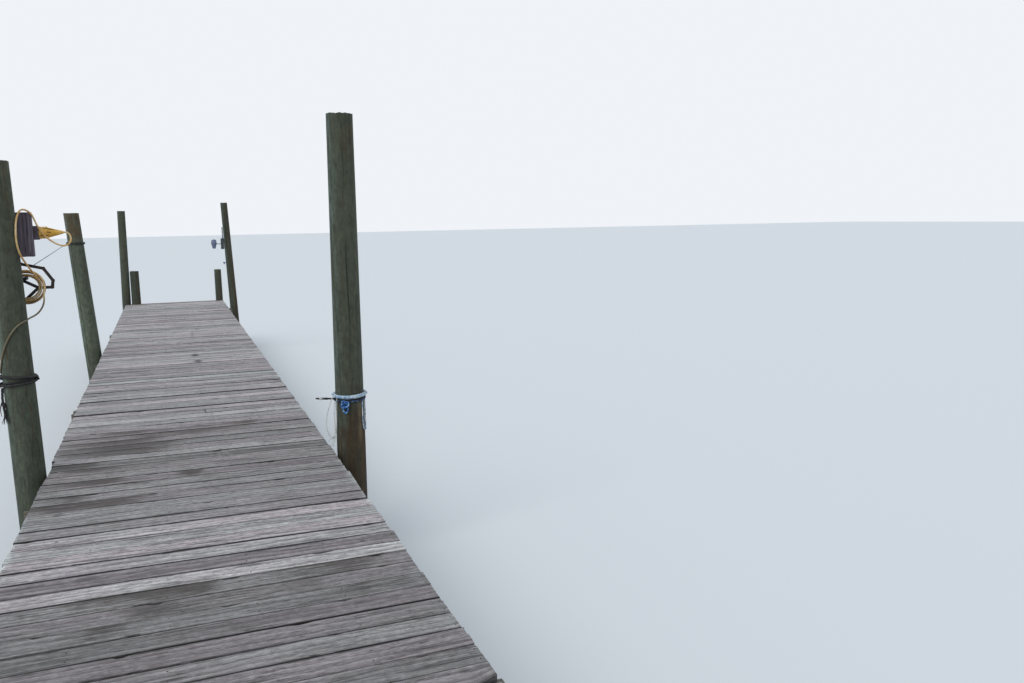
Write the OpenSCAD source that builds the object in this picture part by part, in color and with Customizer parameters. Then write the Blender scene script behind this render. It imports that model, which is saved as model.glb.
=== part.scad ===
// Timber jetty: a deck of boards on stringers, carried by caps that clamp driven piles.
// Sizes are in millimetres. +X is the right side as seen from the near end, +Y runs to the
// far end and +Z is up. The origin lies on the flat that the piles stand on, under the
// middle of the whole.

/* [Deck] */
// Length of a deck board, which is the width of the deck
deck_w = 1830; // [1400:10:2600]
// Height of the walking surface above the foot of the piles
deck_top = 900; // [700:10:1600]
// Width of a deck board
board_w = 140; // [90:1:190]
// Thickness of a deck board
board_t = 38; // [25:1:60]
// Gap between deck boards
board_gap = 6; // [2:0.5:15]
// Deck boards in one bay
boards_per_bay = 21; // [15:1:28]

/* [Stringers] */
// Thickness of a stringer, and of the rims along both sides
stringer_t = 38; // [30:1:60]
// Depth of a stringer and of a rim
stringer_h = 184; // [120:1:240]
// Gap where two lengths of a stringer or rim meet end to end
joint_gap = 3; // [1:0.5:8]
// Thickness of the fascia across each end
fascia_t = 38; // [25:1:60]
// How far the fascias stand above the deck boards
fascia_proud = 5; // [0:1:15]

/* [Caps] */
// Thickness of one timber of a cap pair
cap_t = 38; // [30:1:75]
// Depth of a cap
cap_h = 235; // [150:1:300]
// Thickness of the single cap under the far end
end_cap_t = 89; // [70:1:140]
// How far a cap pair runs past the side of the deck
cap_run = 140; // [115:5:160]
// Thickness of the tongue that is left between the two notches of a pile
tongue_t = 120; // [100:1:140]
// Turn of the third bent, seen from above
skew_3 = -4; // [-5:0.5:5]

/* [Piles] */
// How much the radius of a pile shrinks in each metre above the deck
taper = 5; // [2:0.5:10]
// Clearance where a round pile meets a flat face
fit = 0.3; // [0.1:0.1:1]
// Radius of the low piles that end under the deck
low_r = 100; // [85:1:115]
// Inset of its axis from the side of the deck
low_inset = 0; // [0:1:60]

/* [Near left pile] */
// Radius at the deck
near_left_r = 94; // [80:1:110]
// Height above the deck
near_left_h = 2010; // [1000:10:2800]
// Outward lean in degrees
near_left_lean = 0.8; // [0:0.1:2]

/* [Near right pile] */
// Radius at the deck
near_right_r = 103; // [80:1:115]
// Height above the deck
near_right_h = 2340; // [1000:10:2800]
// Gap to the side of the deck
near_right_gap = 52; // [5:1:60]
// Outward lean in degrees
near_right_lean = 0.4; // [0:0.1:2]

/* [Middle left pile] */
// Radius at the deck
mid_left_r = 98; // [75:1:110]
// Height above the deck
mid_left_h = 1750; // [1000:10:2800]
// Gap to the side of the deck
mid_left_gap = 60; // [20:1:100]
// Outward lean in degrees
mid_left_lean = 3.6; // [0:0.1:4.5]

/* [Far right pile] */
// Radius at the deck
far_right_r = 70; // [65:1:100]
// Height above the deck
far_right_h = 1956; // [1000:10:2800]
// Gap to the side of the deck, filled by a saddle block
far_right_gap = 45; // [30:1:80]
// Inward lean in degrees
far_right_lean = 2; // [0:0.1:3]
// Distance from the far end of the deck
far_right_back = 1420; // [600:10:2400]
// Length of the saddle block along the deck
saddle_l = 140; // [100:1:200]

/* [Far end piles] */
// Radius of the tall pile at the far left corner
corner_left_r = 80; // [60:1:100]
// Its height above the deck
corner_left_h = 1840; // [1000:10:2800]
// Inset of its axis from the left side of the deck
corner_left_inset = 15; // [0:1:60]
// Its inward lean in degrees, over the short pile beside it
corner_left_lean = 1; // [0:0.1:2]
// Radius of the short pile beside it
stub_left_r = 85; // [60:1:100]
// Height of the short pile above the deck
stub_left_h = 655; // [200:5:1000]
// Radius of the short pile at the far right corner
stub_right_r = 70; // [60:1:100]
// Height of the short right pile above the deck
stub_right_h = 635; // [200:5:1000]
// Inset of its axis from the right side of the deck
stub_right_inset = 65; // [0:1:120]

/* [Hanger on the near left pile] */
// Width of the upright board nailed to the back of the pile
hanger_w = 184; // [140:1:240]
// Height of that board
hanger_h = 285; // [200:1:400]
// Foot of that board above the deck
hanger_foot = 1408; // [1200:1:1600]
// Thickness of the board and of the arm behind it
hanger_t = 38; // [19:1:50]
// How far the board reaches to the right of the pile's axis at the deck
hanger_side = 139; // [120:1:150]
// Depth of the arm, on edge
arm_h = 90; // [60:1:120]
// Foot of the arm above the foot of the board
arm_rise = 107; // [40:1:140]
// Length of the arm
arm_l = 190; // [160:1:260]
// How far the arm runs past the board
arm_run = 31; // [10:1:80]
// Length of the plug and its boot
plug_l = 141; // [80:1:200]
// Radius of the plug
plug_r = 40; // [20:1:40]
// Width of the bars of the cable hook
hook_bar = 19; // [8:1:24]
// Thickness of the hook, and of its plate on the pile
hook_t = 9; // [5:1:14]
// Radius of the peg that the coil hangs on
peg_r = 8; // [5:1:12]
// Where the strung line meets the hook's top bar, as a share of that bar
line_share = 0.6; // [0.2:0.05:0.9]

/* [Cable] */
// Diameter of the cable
cable_d = 11; // [8:1:14]
// Radius of the coil, at the middle of its turns
coil_r = 90; // [70:1:120]
// Radius of the bundle of turns
coil_bundle_r = 26; // [18:1:32]

/* [Ropes] */
// Diameter of the black rope
black_d = 18; // [12:1:32]
// Height of its lower turn above the deck
black_z = 597; // [400:1:900]
// Rise from its lower turn to its upper one
black_rise = 70; // [40:1:90]
// Diameter of its hanging tail
black_tail_d = 16; // [10:1:28]
// Diameter of the blue rope
blue_d = 14; // [8:1:18]
// Height of its main turns above the deck
blue_z = 368; // [250:1:500]
// Radius of its knot
knot_r = 26; // [20:1:40]
// Diameter of the thin end that sticks out of the blue rope
toggle_d = 14; // [6:1:16]
// Length of that end
toggle_l = 136; // [60:1:140]
// Diameter of the blue rope's hanging loop
blue_tail_d = 9; // [6:1:12]
// Diameter of the white line that hangs beside it
white_d = 6; // [4:0.5:8]
// Diameter of the dark rope round the middle left pile
mid_rope_d = 18; // [10:1:24]
// Height of its lower turn above the deck
mid_rope_z = 1360; // [1200:5:1600]
// Diameter of the line strung from that rope to the cable hook
line_d = 5; // [4:0.5:10]

/* [Fittings on the far right pile] */
// Width, depth and height of the junction box
junction = [60, 70, 200]; // [40:1:240]
// Height of the middle of the box above the deck
junction_z = 1190; // [900:5:1400]
// Length of the lamp's arm
lamp_arm_l = 118; // [80:1:200]
// Radius of the lamp's arm
lamp_arm_r = 7; // [5:1:12]
// Radius of the lamp
lamp_r = 50; // [35:1:70]
// Height of the lamp
lamp_h = 175; // [120:1:220]
// Radius of the tap's blue handle
tap_r = 17; // [12:1:25]
// How far the tap stands off the pile
tap_l = 50; // [30:1:70]
// Height of the tap above the deck
tap_z = 837; // [600:5:1000]

/* [Hidden] */
$fn = 64;

// Whole bays, one set of deck boards to each
bays = 6;
// Bents, counted from 1 at the near end
bents = bays + 1;
// Stringer lines between the two rims
inner_lines = 4;

board_pitch = board_w + board_gap;
bay_l = boards_per_bay * board_pitch;
deck_l = bays * bay_l + board_gap + 2 * fascia_t;
// The corner piles stand beyond the far end, and the whole is centred on the origin.
near_y = -(deck_l + fit + 2 * max(corner_left_r, stub_left_r, stub_right_r)) / 2;
far_y = near_y + deck_l;
board_z = deck_top - board_t;
cap_top = board_z - stringer_h;
cap_foot = cap_top - cap_h;
cap_l = deck_w + 2 * cap_run;
cap_out = tongue_t / 2 + cap_t;
line_pitch = (deck_w - stringer_t) / (inner_lines + 1);
// A cut that clears any pile
reach = 600;

grey_board = [0.47, 0.45, 0.47];
old_timber = [0.38, 0.38, 0.35];
red_timber = [0.36, 0.24, 0.19];
pile_green = [0.26, 0.31, 0.26];
yellow_rubber = [0.80, 0.62, 0.22];
black_rope_colour = [0.06, 0.06, 0.07];
blue_rope_colour = [0.35, 0.55, 0.75];
white_cord = [0.78, 0.78, 0.76];
grey_metal = [0.30, 0.34, 0.42];

// The near bent is set in so that its caps and piles lie under the deck, and the others
// stand one bay apart, counted back from the single cap under the far end.
function bent_y(k) = k == 1 ? near_y + max(cap_out, low_r) : far_y - end_cap_t / 2 - (bents - k) * bay_l;
function bent_skew(k) = k == 3 ? skew_3 : 0;
function on_bent(k, x) = [x, bent_y(k) + x * tan(bent_skew(k)), 0];

module at_bent(k) {
    translate([0, bent_y(k), 0]) rotate([0, 0, bent_skew(k)]) children();
}

// One bay of deck boards: separate boards across the stringers.
module deck_boards(bay) {
    color(grey_board)
        for (i = [0:boards_per_bay - 1])
            translate([-deck_w / 2,
                       near_y + fascia_t + board_gap + (bay - 1) * bay_l + i * board_pitch,
                       board_z])
                cube([deck_w, board_w, board_t]);
}

// A line of timbers along the deck, butted end to end over the bents in the list.
module timber_line(x, joints) {
    stops = [near_y + fascia_t, for (k = joints) bent_y(k), far_y - fascia_t];
    color(old_timber)
        for (i = [0:len(stops) - 2]) {
            from = stops[i] + (i > 0 ? joint_gap / 2 : 0);
            to = stops[i + 1] - (i < len(stops) - 2 ? joint_gap / 2 : 0);
            translate([x - stringer_t / 2, from, cap_top])
                cube([stringer_t, to - from, stringer_h]);
        }
}

// Rims lie flush with the board ends, with their joints one bent off those of the stringers.
module rim(side) {
    timber_line(side * (deck_w - stringer_t) / 2, [2, 4, 6]);
}

module stringer(line) {
    timber_line((stringer_t - deck_w) / 2 + line * line_pitch, [3, 5]);
}

// Board on edge across the ends of the stringers, from the cap up to the deck.
module fascia(near_face) {
    color(red_timber)
        translate([-deck_w / 2, near_face, cap_top])
            cube([deck_w, fascia_t, deck_top + fascia_proud - cap_top]);
}

// Two timbers, one each side of the piles, let into their notches.
module cap(k) {
    color(old_timber)
        at_bent(k)
            for (face = [-cap_out, tongue_t / 2])
                translate([-cap_l / 2, face, cap_foot]) cube([cap_l, cap_t, cap_h]);
}

// One thick timber on the near face of the end piles.
module cap_far() {
    color(old_timber)
        translate([-deck_w / 2, far_y - end_cap_t, cap_foot]) cube([deck_w, end_cap_t, cap_h]);
}

// Straight up to the deck, tapered above it, leaning about the deck's level, and cut flat
// where it stands.
module shaft(r, above, lean = 0) {
    intersection() {
        translate([0, 0, deck_top]) rotate([0, lean, 0]) {
            translate([0, 0, -deck_top - r]) cylinder(h = deck_top + r, r = r);
            cylinder(h = above, r1 = r, r2 = r - taper * above / 1000);
        }
        translate([-reach, -reach, 0]) cube([2 * reach, 2 * reach, deck_top + above + r]);
    }
}

// The two notches of a pile, as far out as the timbers of its cap run.
module notches(k) {
    at_bent(k)
        for (side = [-1, 1])
            translate([-cap_l / 2 - fit, side > 0 ? tongue_t / 2 : -tongue_t / 2 - reach, cap_foot])
                cube([cap_l + 2 * fit, reach, cap_h]);
}

// A tall pile clamped by the cap of its bent.
module clamped_pile(k, x, r, above, lean = 0) {
    color(pile_green)
        difference() {
            translate(on_bent(k, x)) shaft(r, above, lean);
            notches(k);
        }
}

// Piles on one side that end level with the top of their cap, one at each bent listed.
module low_piles(side, at) {
    x = side * (deck_w / 2 - low_inset);
    color(pile_green)
        for (k = at)
            difference() {
                translate(on_bent(k, x)) cylinder(h = cap_top, r = low_r);
                notches(k);
            }
}

// A pile beyond the far end, against the fascia and the cap below it.
module end_pile(x, r, above, lean = 0) {
    color(pile_green)
        translate([x, far_y + r + fit, 0]) shaft(r, above, lean);
}

// The lean brings this pile's foot towards the rim, so it stands off by that much.
near_left_x = -deck_w / 2 - fit - near_left_r / cos(near_left_lean)
    - (deck_top - cap_top) * tan(near_left_lean);
near_right_x = deck_w / 2 + near_right_gap + near_right_r;
mid_left_x = -deck_w / 2 - mid_left_gap - mid_left_r;
far_right_x = deck_w / 2 + far_right_gap + far_right_r;
corner_left_x = corner_left_inset - deck_w / 2;
// Clear of the tall pile's lean at the short pile's top, and of its foot
stub_left_x = corner_left_x + corner_left_r + stub_left_r + fit
    + max(deck_top, stub_left_h) * tan(corner_left_lean);

function pile_r(r, z) = r - taper * z / 1000;

// The point of a leaning pile's axis at a height above the deck.
function axis_at(foot, lean, z) = [foot[0] + z * tan(lean), foot[1], deck_top + z];

near_left_foot = on_bent(3, near_left_x);
near_right_foot = on_bent(3, near_right_x);
mid_left_foot = on_bent(5, mid_left_x);
near_left_deck = axis_at(near_left_foot, 0, 0);
near_right_deck = axis_at(near_right_foot, 0, 0);

// The frame of a leaning pile: its axis is Z, and Z is zero at the deck.
module on_pile(foot, lean) {
    translate(axis_at(foot, 0, 0)) rotate([0, lean, 0]) children();
}

// Turns of rope round a pile. Each place is a layer, 0 on the pile's side, and a height.
module turns(r, d, places) {
    rotate_extrude()
        for (p = places)
            translate([pile_r(r, p[1] - d / 2) + fit + (p[0] + 0.5) * d, p[1]])
                circle(d = d, $fn = 24);
}

// A tube swept along points, with flat ends. Each ring is turned from the last by the
// smallest turn, so the tube doesn't twist.
tube_sides = 8;

function unit(v) = v / norm(v);
function along(p, i) = unit(p[min(i + 1, len(p) - 1)] - p[max(i - 1, 0)]);
function carried(n, t) = unit(n - (n * t) * t);
function first_normal(t) = unit(cross(t, abs(t[2]) < 0.9 ? [0, 0, 1] : [1, 0, 0]));
function normals(p, i = 0, last = undef, out = []) =
    i == len(p) ? out
    : let (n = i == 0 ? first_normal(along(p, 0)) : carried(last, along(p, i)))
        normals(p, i + 1, n, concat(out, [n]));

module tube(p, d) {
    n = normals(p);
    rings = [for (i = [0:len(p) - 1]) let (b = cross(along(p, i), n[i]))
        for (s = [0:tube_sides - 1]) let (a = 360 * s / tube_sides)
            p[i] + d / 2 * (cos(a) * n[i] + sin(a) * b)];
    m = tube_sides;
    sides = [for (i = [0:len(p) - 2]) for (s = [0:m - 1])
        [i * m + s, (i + 1) * m + s, (i + 1) * m + (s + 1) % m, i * m + (s + 1) % m]];
    start = [for (s = [0:m - 1]) s];
    stop = [for (s = [m - 1:-1:0]) (len(p) - 1) * m + s];
    polyhedron(points = rings, faces = concat(sides, [start, stop]));
}

function moved(route, by) = [for (p = route) p + by];

// Points round a pile, from pairs of an angle about it and a height above the deck, for a
// line of diameter d that lies on the pile's side.
function wrapped(foot, lean, r, d, pairs) = [for (q = pairs)
    axis_at(foot, lean, q[1]) + (pile_r(r, q[1]) + d / 2 + 2 * fit) * [cos(q[0]), sin(q[0]), 0]];

// The upright board on the back of the near left pile, and the arm nailed behind it.
hanger_front = pile_r(near_left_r, hanger_foot) + fit;

module hanger_board() {
    color(old_timber)
        translate(near_left_deck) {
            translate([hanger_side - hanger_w, hanger_front, hanger_foot])
                cube([hanger_w, hanger_t, hanger_h]);
            translate([hanger_side + arm_run - arm_l, hanger_front + hanger_t,
                       hanger_foot + arm_rise])
                cube([arm_l, hanger_t, arm_h]);
        }
}

plug_at = near_left_deck + [hanger_side + arm_run, hanger_front + 1.5 * hanger_t,
                            hanger_foot + arm_rise + arm_h / 2];

// The plug in the end of the arm, with its boot tapering down to the cable.
module cable_plug() {
    color(yellow_rubber)
        translate(plug_at) rotate([0, 90, 0]) {
            cylinder(h = plug_l / 3, r = plug_r);
            translate([0, 0, plug_l / 3])
                cylinder(h = plug_l * 2 / 3, r1 = plug_r, r2 = cable_d / 2 + 1);
        }
}

// Corners of the hook's bars, right of the pile's axis and above the deck: a loop, and the
// branch that slants down from its inner corner.
hook_loop = [[-20, 1372], [47, 1360], [172, 1328], [222, 1247], [215, 1203], [134, 1203],
             [47, 1253], [-20, 1262]];
hook_branch = [[134, 1203], [60, 1133], [-20, 1120]];
// Where the plate on the pile ends, below the branch
hook_foot = hook_branch[2][1] + 70;
hook_front = pile_r(near_left_r, hook_foot) + fit;
coil_mid = [70, hook_front + hook_t + fit + coil_bundle_r, 1212];
peg_z = coil_mid[2] + coil_r - coil_bundle_r - peg_r - fit;
// The bars stand behind the coil, with a rivet at each corner.
hook_back = coil_mid[1] + coil_bundle_r + fit;
rivet_r = 0.6 * hook_bar;

module bars(corners) {
    for (i = [0:len(corners) - 2]) {
        step = corners[i + 1] - corners[i];
        translate(corners[i]) {
            rotate(atan2(step[1], step[0]))
                translate([0, -hook_bar / 2]) square([norm(step), hook_bar]);
            circle(r = rivet_r);
        }
    }
}

// A shape drawn right of the pile's axis and above the deck, from one depth to another.
module upright(from, to) {
    translate([0, to, 0]) rotate([90, 0, 0]) linear_extrude(to - from) children();
}

// A plate on the back of the pile, a peg through the coil and a loop of bars behind it.
module cable_hook() {
    color(black_rope_colour)
        translate(near_left_deck) {
            upright(hook_front, hook_front + hook_t) {
                translate([-45, hook_foot]) square([60, hook_loop[0][1] - hook_foot]);
                bars([[coil_mid[0], peg_z], [-20, peg_z]]);
            }
            upright(hook_front + hook_t / 2, hook_back + hook_t / 2) {
                translate([coil_mid[0], peg_z]) circle(r = peg_r);
                translate([-35, hook_loop[0][1] - 2 * hook_bar])
                    square([25, 1.5 * hook_bar]);
            }
            upright(hook_back, hook_back + hook_t) {
                bars(hook_loop);
                bars(hook_branch);
                bars([[coil_mid[0], peg_z], hook_loop[6]]);
            }
        }
}

// The cable from its plug to the coil, given from the near left pile's axis at the deck.
cable_loop_route = [
    [311, 144, 1560], [326, 144, 1560], [341, 145, 1550], [350, 143, 1528], [348, 134, 1502],
    [334, 121, 1482], [308, 108, 1474], [276, 98, 1483], [245, 95, 1503], [218, 96, 1527],
    [196, 98, 1554], [178, 100, 1584], [163, 101, 1616], [153, 96, 1648], [142, 82, 1678],
    [122, 68, 1701], [101, 48, 1709], [86, 20, 1700], [76, -14, 1674], [68, -38, 1630],
    [64, -50, 1578], [62, -53, 1526], [65, -50, 1478], [72, -38, 1436], [86, -6, 1390],
    [104, 46, 1342], [122, 82, 1303], [137, 92, 1273]
];
// The cable from the coil to the side of the pile, then round its front to the black rope.
cable_fall_route = [[167, 101, 1156], [167, 98, 1130], [161, 90, 1098], [148, 78, 1069],
                    [130, 62, 1046], [107, 44, 1029], [83, 20, 1018]];
cable_wrap = [[-21, 1011], [-44, 1002], [-64, 984], [-86, 944], [-104, 897], [-118, 850],
              [-134, 790], [-148, 733], [-158, 700], [-162, 681]];

module cable_loop() {
    color(yellow_rubber) tube(moved(cable_loop_route, near_left_deck), cable_d);
}

module cable_coil() {
    color(yellow_rubber)
        translate(near_left_deck + coil_mid) rotate([90, 0, 0])
            rotate_extrude() translate([coil_r, 0]) circle(r = coil_bundle_r, $fn = 32);
}

module cable_tail() {
    color(yellow_rubber)
        tube(concat(moved(cable_fall_route, near_left_deck),
                    wrapped(near_left_foot, -near_left_lean, near_left_r, cable_d, cable_wrap)),
             cable_d);
}

// Two turns of black rope round the near left pile, one above the other.
module black_rope() {
    color(black_rope_colour)
        on_pile(near_left_foot, -near_left_lean)
            turns(near_left_r, black_d, [[0, black_z], [0, black_z + black_rise]]);
}

// Its tail, hanging down the left of the pile.
black_tail_route = [[-99, -42, 587], [-101, -44, 556], [-103, -46, 524], [-102, -50, 492],
                    [-99, -55, 460], [-95, -61, 430], [-92, -66, 404]];

module black_rope_tail() {
    color(black_rope_colour) tube(moved(black_tail_route, near_left_deck), black_tail_d);
}

// Turns of blue rope round the near right pile, its knot and a thin end that sticks out.
knot_turn = -118;
toggle_turn = 186;
toggle_rise = 7;
low_turn_z = blue_z - 25;
blue_outer_z = blue_z + 0.45 * blue_d;

module blue_rope() {
    out = pile_r(near_right_r, blue_z - 3 * knot_r) + fit;
    color(blue_rope_colour)
        on_pile(near_right_foot, near_right_lean) {
            turns(near_right_r, blue_d,
                  [[0, low_turn_z], [0, blue_z], [0, blue_z + 0.9 * blue_d], [0.85, blue_outer_z]]);
            rotate(knot_turn) {
                translate([out + knot_r, 0, blue_z - 2.1 * knot_r]) sphere(r = knot_r, $fn = 32);
                translate([out + 0.7 * knot_r, 0, blue_z - 3.6 * knot_r])
                    sphere(r = 0.7 * knot_r, $fn = 32);
            }
            rotate(toggle_turn)
                translate([out + 0.7 * blue_d, 0, low_turn_z])
                    rotate([0, 90 - toggle_rise, 0]) cylinder(h = toggle_l, d = toggle_d);
        }
}

// The blue rope's loop, down one side and up the other, as pairs round the pile.
blue_loop_pairs = [[-8, 335], [-8, 290], [-8, 240], [-8, 190], [-10, 148], [-15, 118], [-23, 104],
                   [-31, 104], [-39, 118], [-44, 148], [-46, 190], [-46, 240], [-46, 290],
                   [-46, 335]];

module blue_rope_loop() {
    color(blue_rope_colour)
        tube(wrapped(near_right_foot, near_right_lean, near_right_r, blue_tail_d,
                     blue_loop_pairs), blue_tail_d);
}

// The white line, given from the near right pile's axis at the deck.
white_line_route = [
    [-121, -30, 369.5], [-133, -32, 342], [-147, -36, 310], [-162, -40, 268], [-174, -44, 222],
    [-180, -48, 176], [-178, -52, 134], [-168, -56, 100], [-154, -60, 80], [-139, -62, 74],
    [-126, -64, 86], [-117, -66, 118], [-113, -67, 160], [-110, -67, 212], [-107, -66, 266],
    [-104, -65, 316], [-101, -64, 369]
];

module white_line() {
    color(white_cord) tube(moved(white_line_route, near_right_deck), white_d);
}

// Two turns of dark rope round the middle left pile.
module mid_rope() {
    color(black_rope_colour)
        on_pile(mid_left_foot, -mid_left_lean)
            turns(mid_left_r, mid_rope_d, [[0, mid_rope_z], [0, mid_rope_z + 0.8 * mid_rope_d]]);
}

// A straight thin line from the top bar of the hook to the rope on the middle left pile.
line_seat = hook_loop[1] + line_share * (hook_loop[2] - hook_loop[1]);
line_from = near_left_deck
    + [line_seat[0], hook_back + hook_t / 2, line_seat[1] + hook_bar / 2 + line_d / 2 + fit];
line_turn = -150;
line_to = axis_at(mid_left_foot, -mid_left_lean, mid_rope_z)
    + (pile_r(mid_left_r, mid_rope_z) + mid_rope_d + line_d / 2 + 2 * fit)
        * [cos(line_turn), sin(line_turn), 0];

module strung_line() {
    step = line_to - line_from;
    color(black_rope_colour)
        translate(line_from)
            rotate([0, acos(step[2] / norm(step)), atan2(step[1], step[0])])
                cylinder(h = norm(step), d = line_d);
}

// A junction box with a lamp on a short arm, and below it a tap.
module far_right_fittings() {
    box_face = pile_r(far_right_r, junction_z - junction[2] / 2) + fit;
    color(grey_metal)
        on_pile([far_right_x, far_y - far_right_back, 0], -far_right_lean) {
            translate([-box_face - junction[0], -junction[1] / 2, junction_z - junction[2] / 2])
                cube(junction);
            translate([-box_face - junction[0] - lamp_arm_l, 0, junction_z])
                rotate([0, 90, 0]) cylinder(h = lamp_arm_l + junction[0] / 2, r = lamp_arm_r);
            translate([-box_face - junction[0] - lamp_arm_l, 0, junction_z - lamp_h / 2]) {
                cylinder(h = lamp_h / 2, r1 = lamp_r / 2, r2 = lamp_r);
                translate([0, 0, lamp_h / 2]) cylinder(h = lamp_h / 2, r = lamp_r);
            }
            translate([-pile_r(far_right_r, tap_z - tap_r) - fit - tap_l, 0, tap_z])
                rotate([0, 90, 0]) cylinder(h = tap_l, r = tap_r);
        }
}

module far_right_shaft(extra = 0) {
    translate([far_right_x, far_y - far_right_back, 0])
        shaft(far_right_r + extra, far_right_h, -far_right_lean);
}

module pile_far_right() {
    color(pile_green) far_right_shaft();
}

// Fills the gap between the rim and the far right pile, hollowed to the pile.
module saddle_block() {
    color(old_timber)
        difference() {
            translate([deck_w / 2, far_y - far_right_back - saddle_l / 2, cap_top])
                cube([far_right_gap + far_right_r / 2, saddle_l, stringer_h]);
            far_right_shaft(fit);
        }
}

deck_boards(1);  // deck_boards_1
deck_boards(2);  // deck_boards_2
deck_boards(3);  // deck_boards_3
deck_boards(4);  // deck_boards_4
deck_boards(5);  // deck_boards_5
deck_boards(6);  // deck_boards_6
rim(-1);  // rim_left
rim(1);  // rim_right
stringer(1);  // stringer_1
stringer(2);  // stringer_2
stringer(3);  // stringer_3
stringer(4);  // stringer_4
fascia(near_y);  // fascia_near
fascia(far_y - fascia_t);  // fascia_far
cap(1);  // cap_1
cap(2);  // cap_2
cap(3);  // cap_3
cap(4);  // cap_4
cap(5);  // cap_5
cap(6);  // cap_6
cap_far();
low_piles(-1, [1, 2, 4, 6]);  // low_piles_left
low_piles(1, [1, 2, 4, 5, 6]);  // low_piles_right
clamped_pile(3, near_left_x, near_left_r, near_left_h, -near_left_lean);  // pile_near_left
clamped_pile(3, near_right_x, near_right_r, near_right_h, near_right_lean);  // pile_near_right
clamped_pile(5, mid_left_x, mid_left_r, mid_left_h, -mid_left_lean);  // pile_mid_left
pile_far_right();
end_pile(corner_left_x, corner_left_r, corner_left_h, corner_left_lean);  // pile_corner_left
end_pile(stub_left_x, stub_left_r, stub_left_h);  // pile_stub_left
end_pile(deck_w / 2 - stub_right_inset, stub_right_r, stub_right_h);  // pile_stub_right
saddle_block();
hanger_board();
cable_hook();
cable_plug();
cable_loop();
cable_coil();
cable_tail();
black_rope();
black_rope_tail();
blue_rope();
blue_rope_loop();
white_line();
mid_rope();
strung_line();
far_right_fittings();
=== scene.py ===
"""Looks of a timber jetty: weathered boards on stringers and clamped caps, round piles with ropes
on them, and a cable that hangs from a hook. Metres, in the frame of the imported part."""
import math

import bpy
import numpy as np
from mathutils import Matrix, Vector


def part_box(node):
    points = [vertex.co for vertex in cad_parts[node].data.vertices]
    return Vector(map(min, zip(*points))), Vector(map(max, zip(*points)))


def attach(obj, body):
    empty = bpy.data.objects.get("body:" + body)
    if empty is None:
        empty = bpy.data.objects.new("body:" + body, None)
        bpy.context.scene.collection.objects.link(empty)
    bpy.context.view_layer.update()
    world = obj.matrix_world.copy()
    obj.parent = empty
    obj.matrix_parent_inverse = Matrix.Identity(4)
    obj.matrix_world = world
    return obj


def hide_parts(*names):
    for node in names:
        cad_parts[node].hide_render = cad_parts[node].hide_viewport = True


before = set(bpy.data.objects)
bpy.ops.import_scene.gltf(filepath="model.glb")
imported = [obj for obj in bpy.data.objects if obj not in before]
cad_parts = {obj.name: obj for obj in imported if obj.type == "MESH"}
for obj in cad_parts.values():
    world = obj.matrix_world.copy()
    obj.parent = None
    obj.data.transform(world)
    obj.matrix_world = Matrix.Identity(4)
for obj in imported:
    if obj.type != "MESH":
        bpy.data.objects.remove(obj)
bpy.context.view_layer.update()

TAU = 2 * math.pi
MM = 0.001

# Sizes that the solids were made from
BOARD_L = 1.83
BOARD_W = 0.14
BOARD_T = 0.038
BOARD_PITCH = 0.146
BOARDS_PER_BAY = 21
BAYS = 6
STRINGER_T = 0.038
TAPER = 0.005
TONGUE = 0.12
LOW_R = 0.1
FIT = 0.0003

DECK_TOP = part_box("deck_boards_1")[1].z
FIRST_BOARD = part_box("deck_boards_1")[0].y
FAR_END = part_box("fascia_far")[1].y
CAP_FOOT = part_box("cap_1")[0].z
CAP_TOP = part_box("cap_1")[1].z
CAP_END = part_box("cap_1")[1].x
BENT_SKEW = {3: math.radians(-4)}
BENTS = {k: (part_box("cap_%d" % k)[0].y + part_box("cap_%d" % k)[1].y) / 2 for k in range(1, 7)}
# Bents that have a low pile at the left, and at the right
LOW_BENTS = {-1: (1, 2, 4, 6), 1: (1, 2, 4, 5, 6)}

# Tall piles: radius at the deck, height above it, lean to +X in degrees, bent whose cap clamps it
PILES = {
    "pile_near_left": (0.094, 2.010, -0.8, 3),
    "pile_near_right": (0.103, 2.340, 0.4, 3),
    "pile_mid_left": (0.098, 1.750, -3.6, 5),
    "pile_far_right": (0.070, 1.956, -2.0, None),
    "pile_corner_left": (0.080, 1.840, 1.0, None),
    "pile_stub_left": (0.085, 0.655, 0.0, None),
    "pile_stub_right": (0.070, 0.635, 0.0, None),
}


def slope_of(name):
    """What a tall pile moves to +X for each metre that it rises: the tangent of its lean."""
    return math.tan(math.radians(PILES[name][2]))


def pile_radius(name, z):
    """A tall pile's radius at a height over the deck: the one at the deck, less the taper times the
    height."""
    return PILES[name][0] - TAPER * z


def pile_axis(name):
    """The axis of a tall pile at the deck, found from the side of its foot that leans inwards:
    foot edge, plus the radius, plus what the lean moves the axis from the foot up to the deck."""
    radius, _, lean, _ = PILES[name]
    low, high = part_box(name)
    half = radius / math.cos(math.radians(lean))
    x = high.x - half if lean < 0 else low.x + half
    return np.array([x + DECK_TOP * slope_of(name), (low.y + high.y) / 2, DECK_TOP])


NEAR_LEFT = pile_axis("pile_near_left")
NEAR_RIGHT = pile_axis("pile_near_right")


def unit(value):
    """The value held between 0 and 1."""
    return np.clip(value, 0, 1)


# The camera, which stands over the near end of the deck: how far right of the middle, before the far
# end and over the deck it is, and how it is turned
EYE_RIGHT = -0.0775
EYE_BEFORE_END = 18.42
EYE_OVER_DECK = 1.619
EYE = (EYE_RIGHT, FAR_END - EYE_BEFORE_END, DECK_TOP + EYE_OVER_DECK)
PITCH_DOWN = math.radians(8.3875)
ROLL = math.radians(-0.9030)
YAW_RIGHT = math.radians(21.8703)
LENS_SHARE = 850 / 1024
SENSOR_MM = 36
SEEN_FROM = 0.05
SEEN_TO = 500


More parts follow.
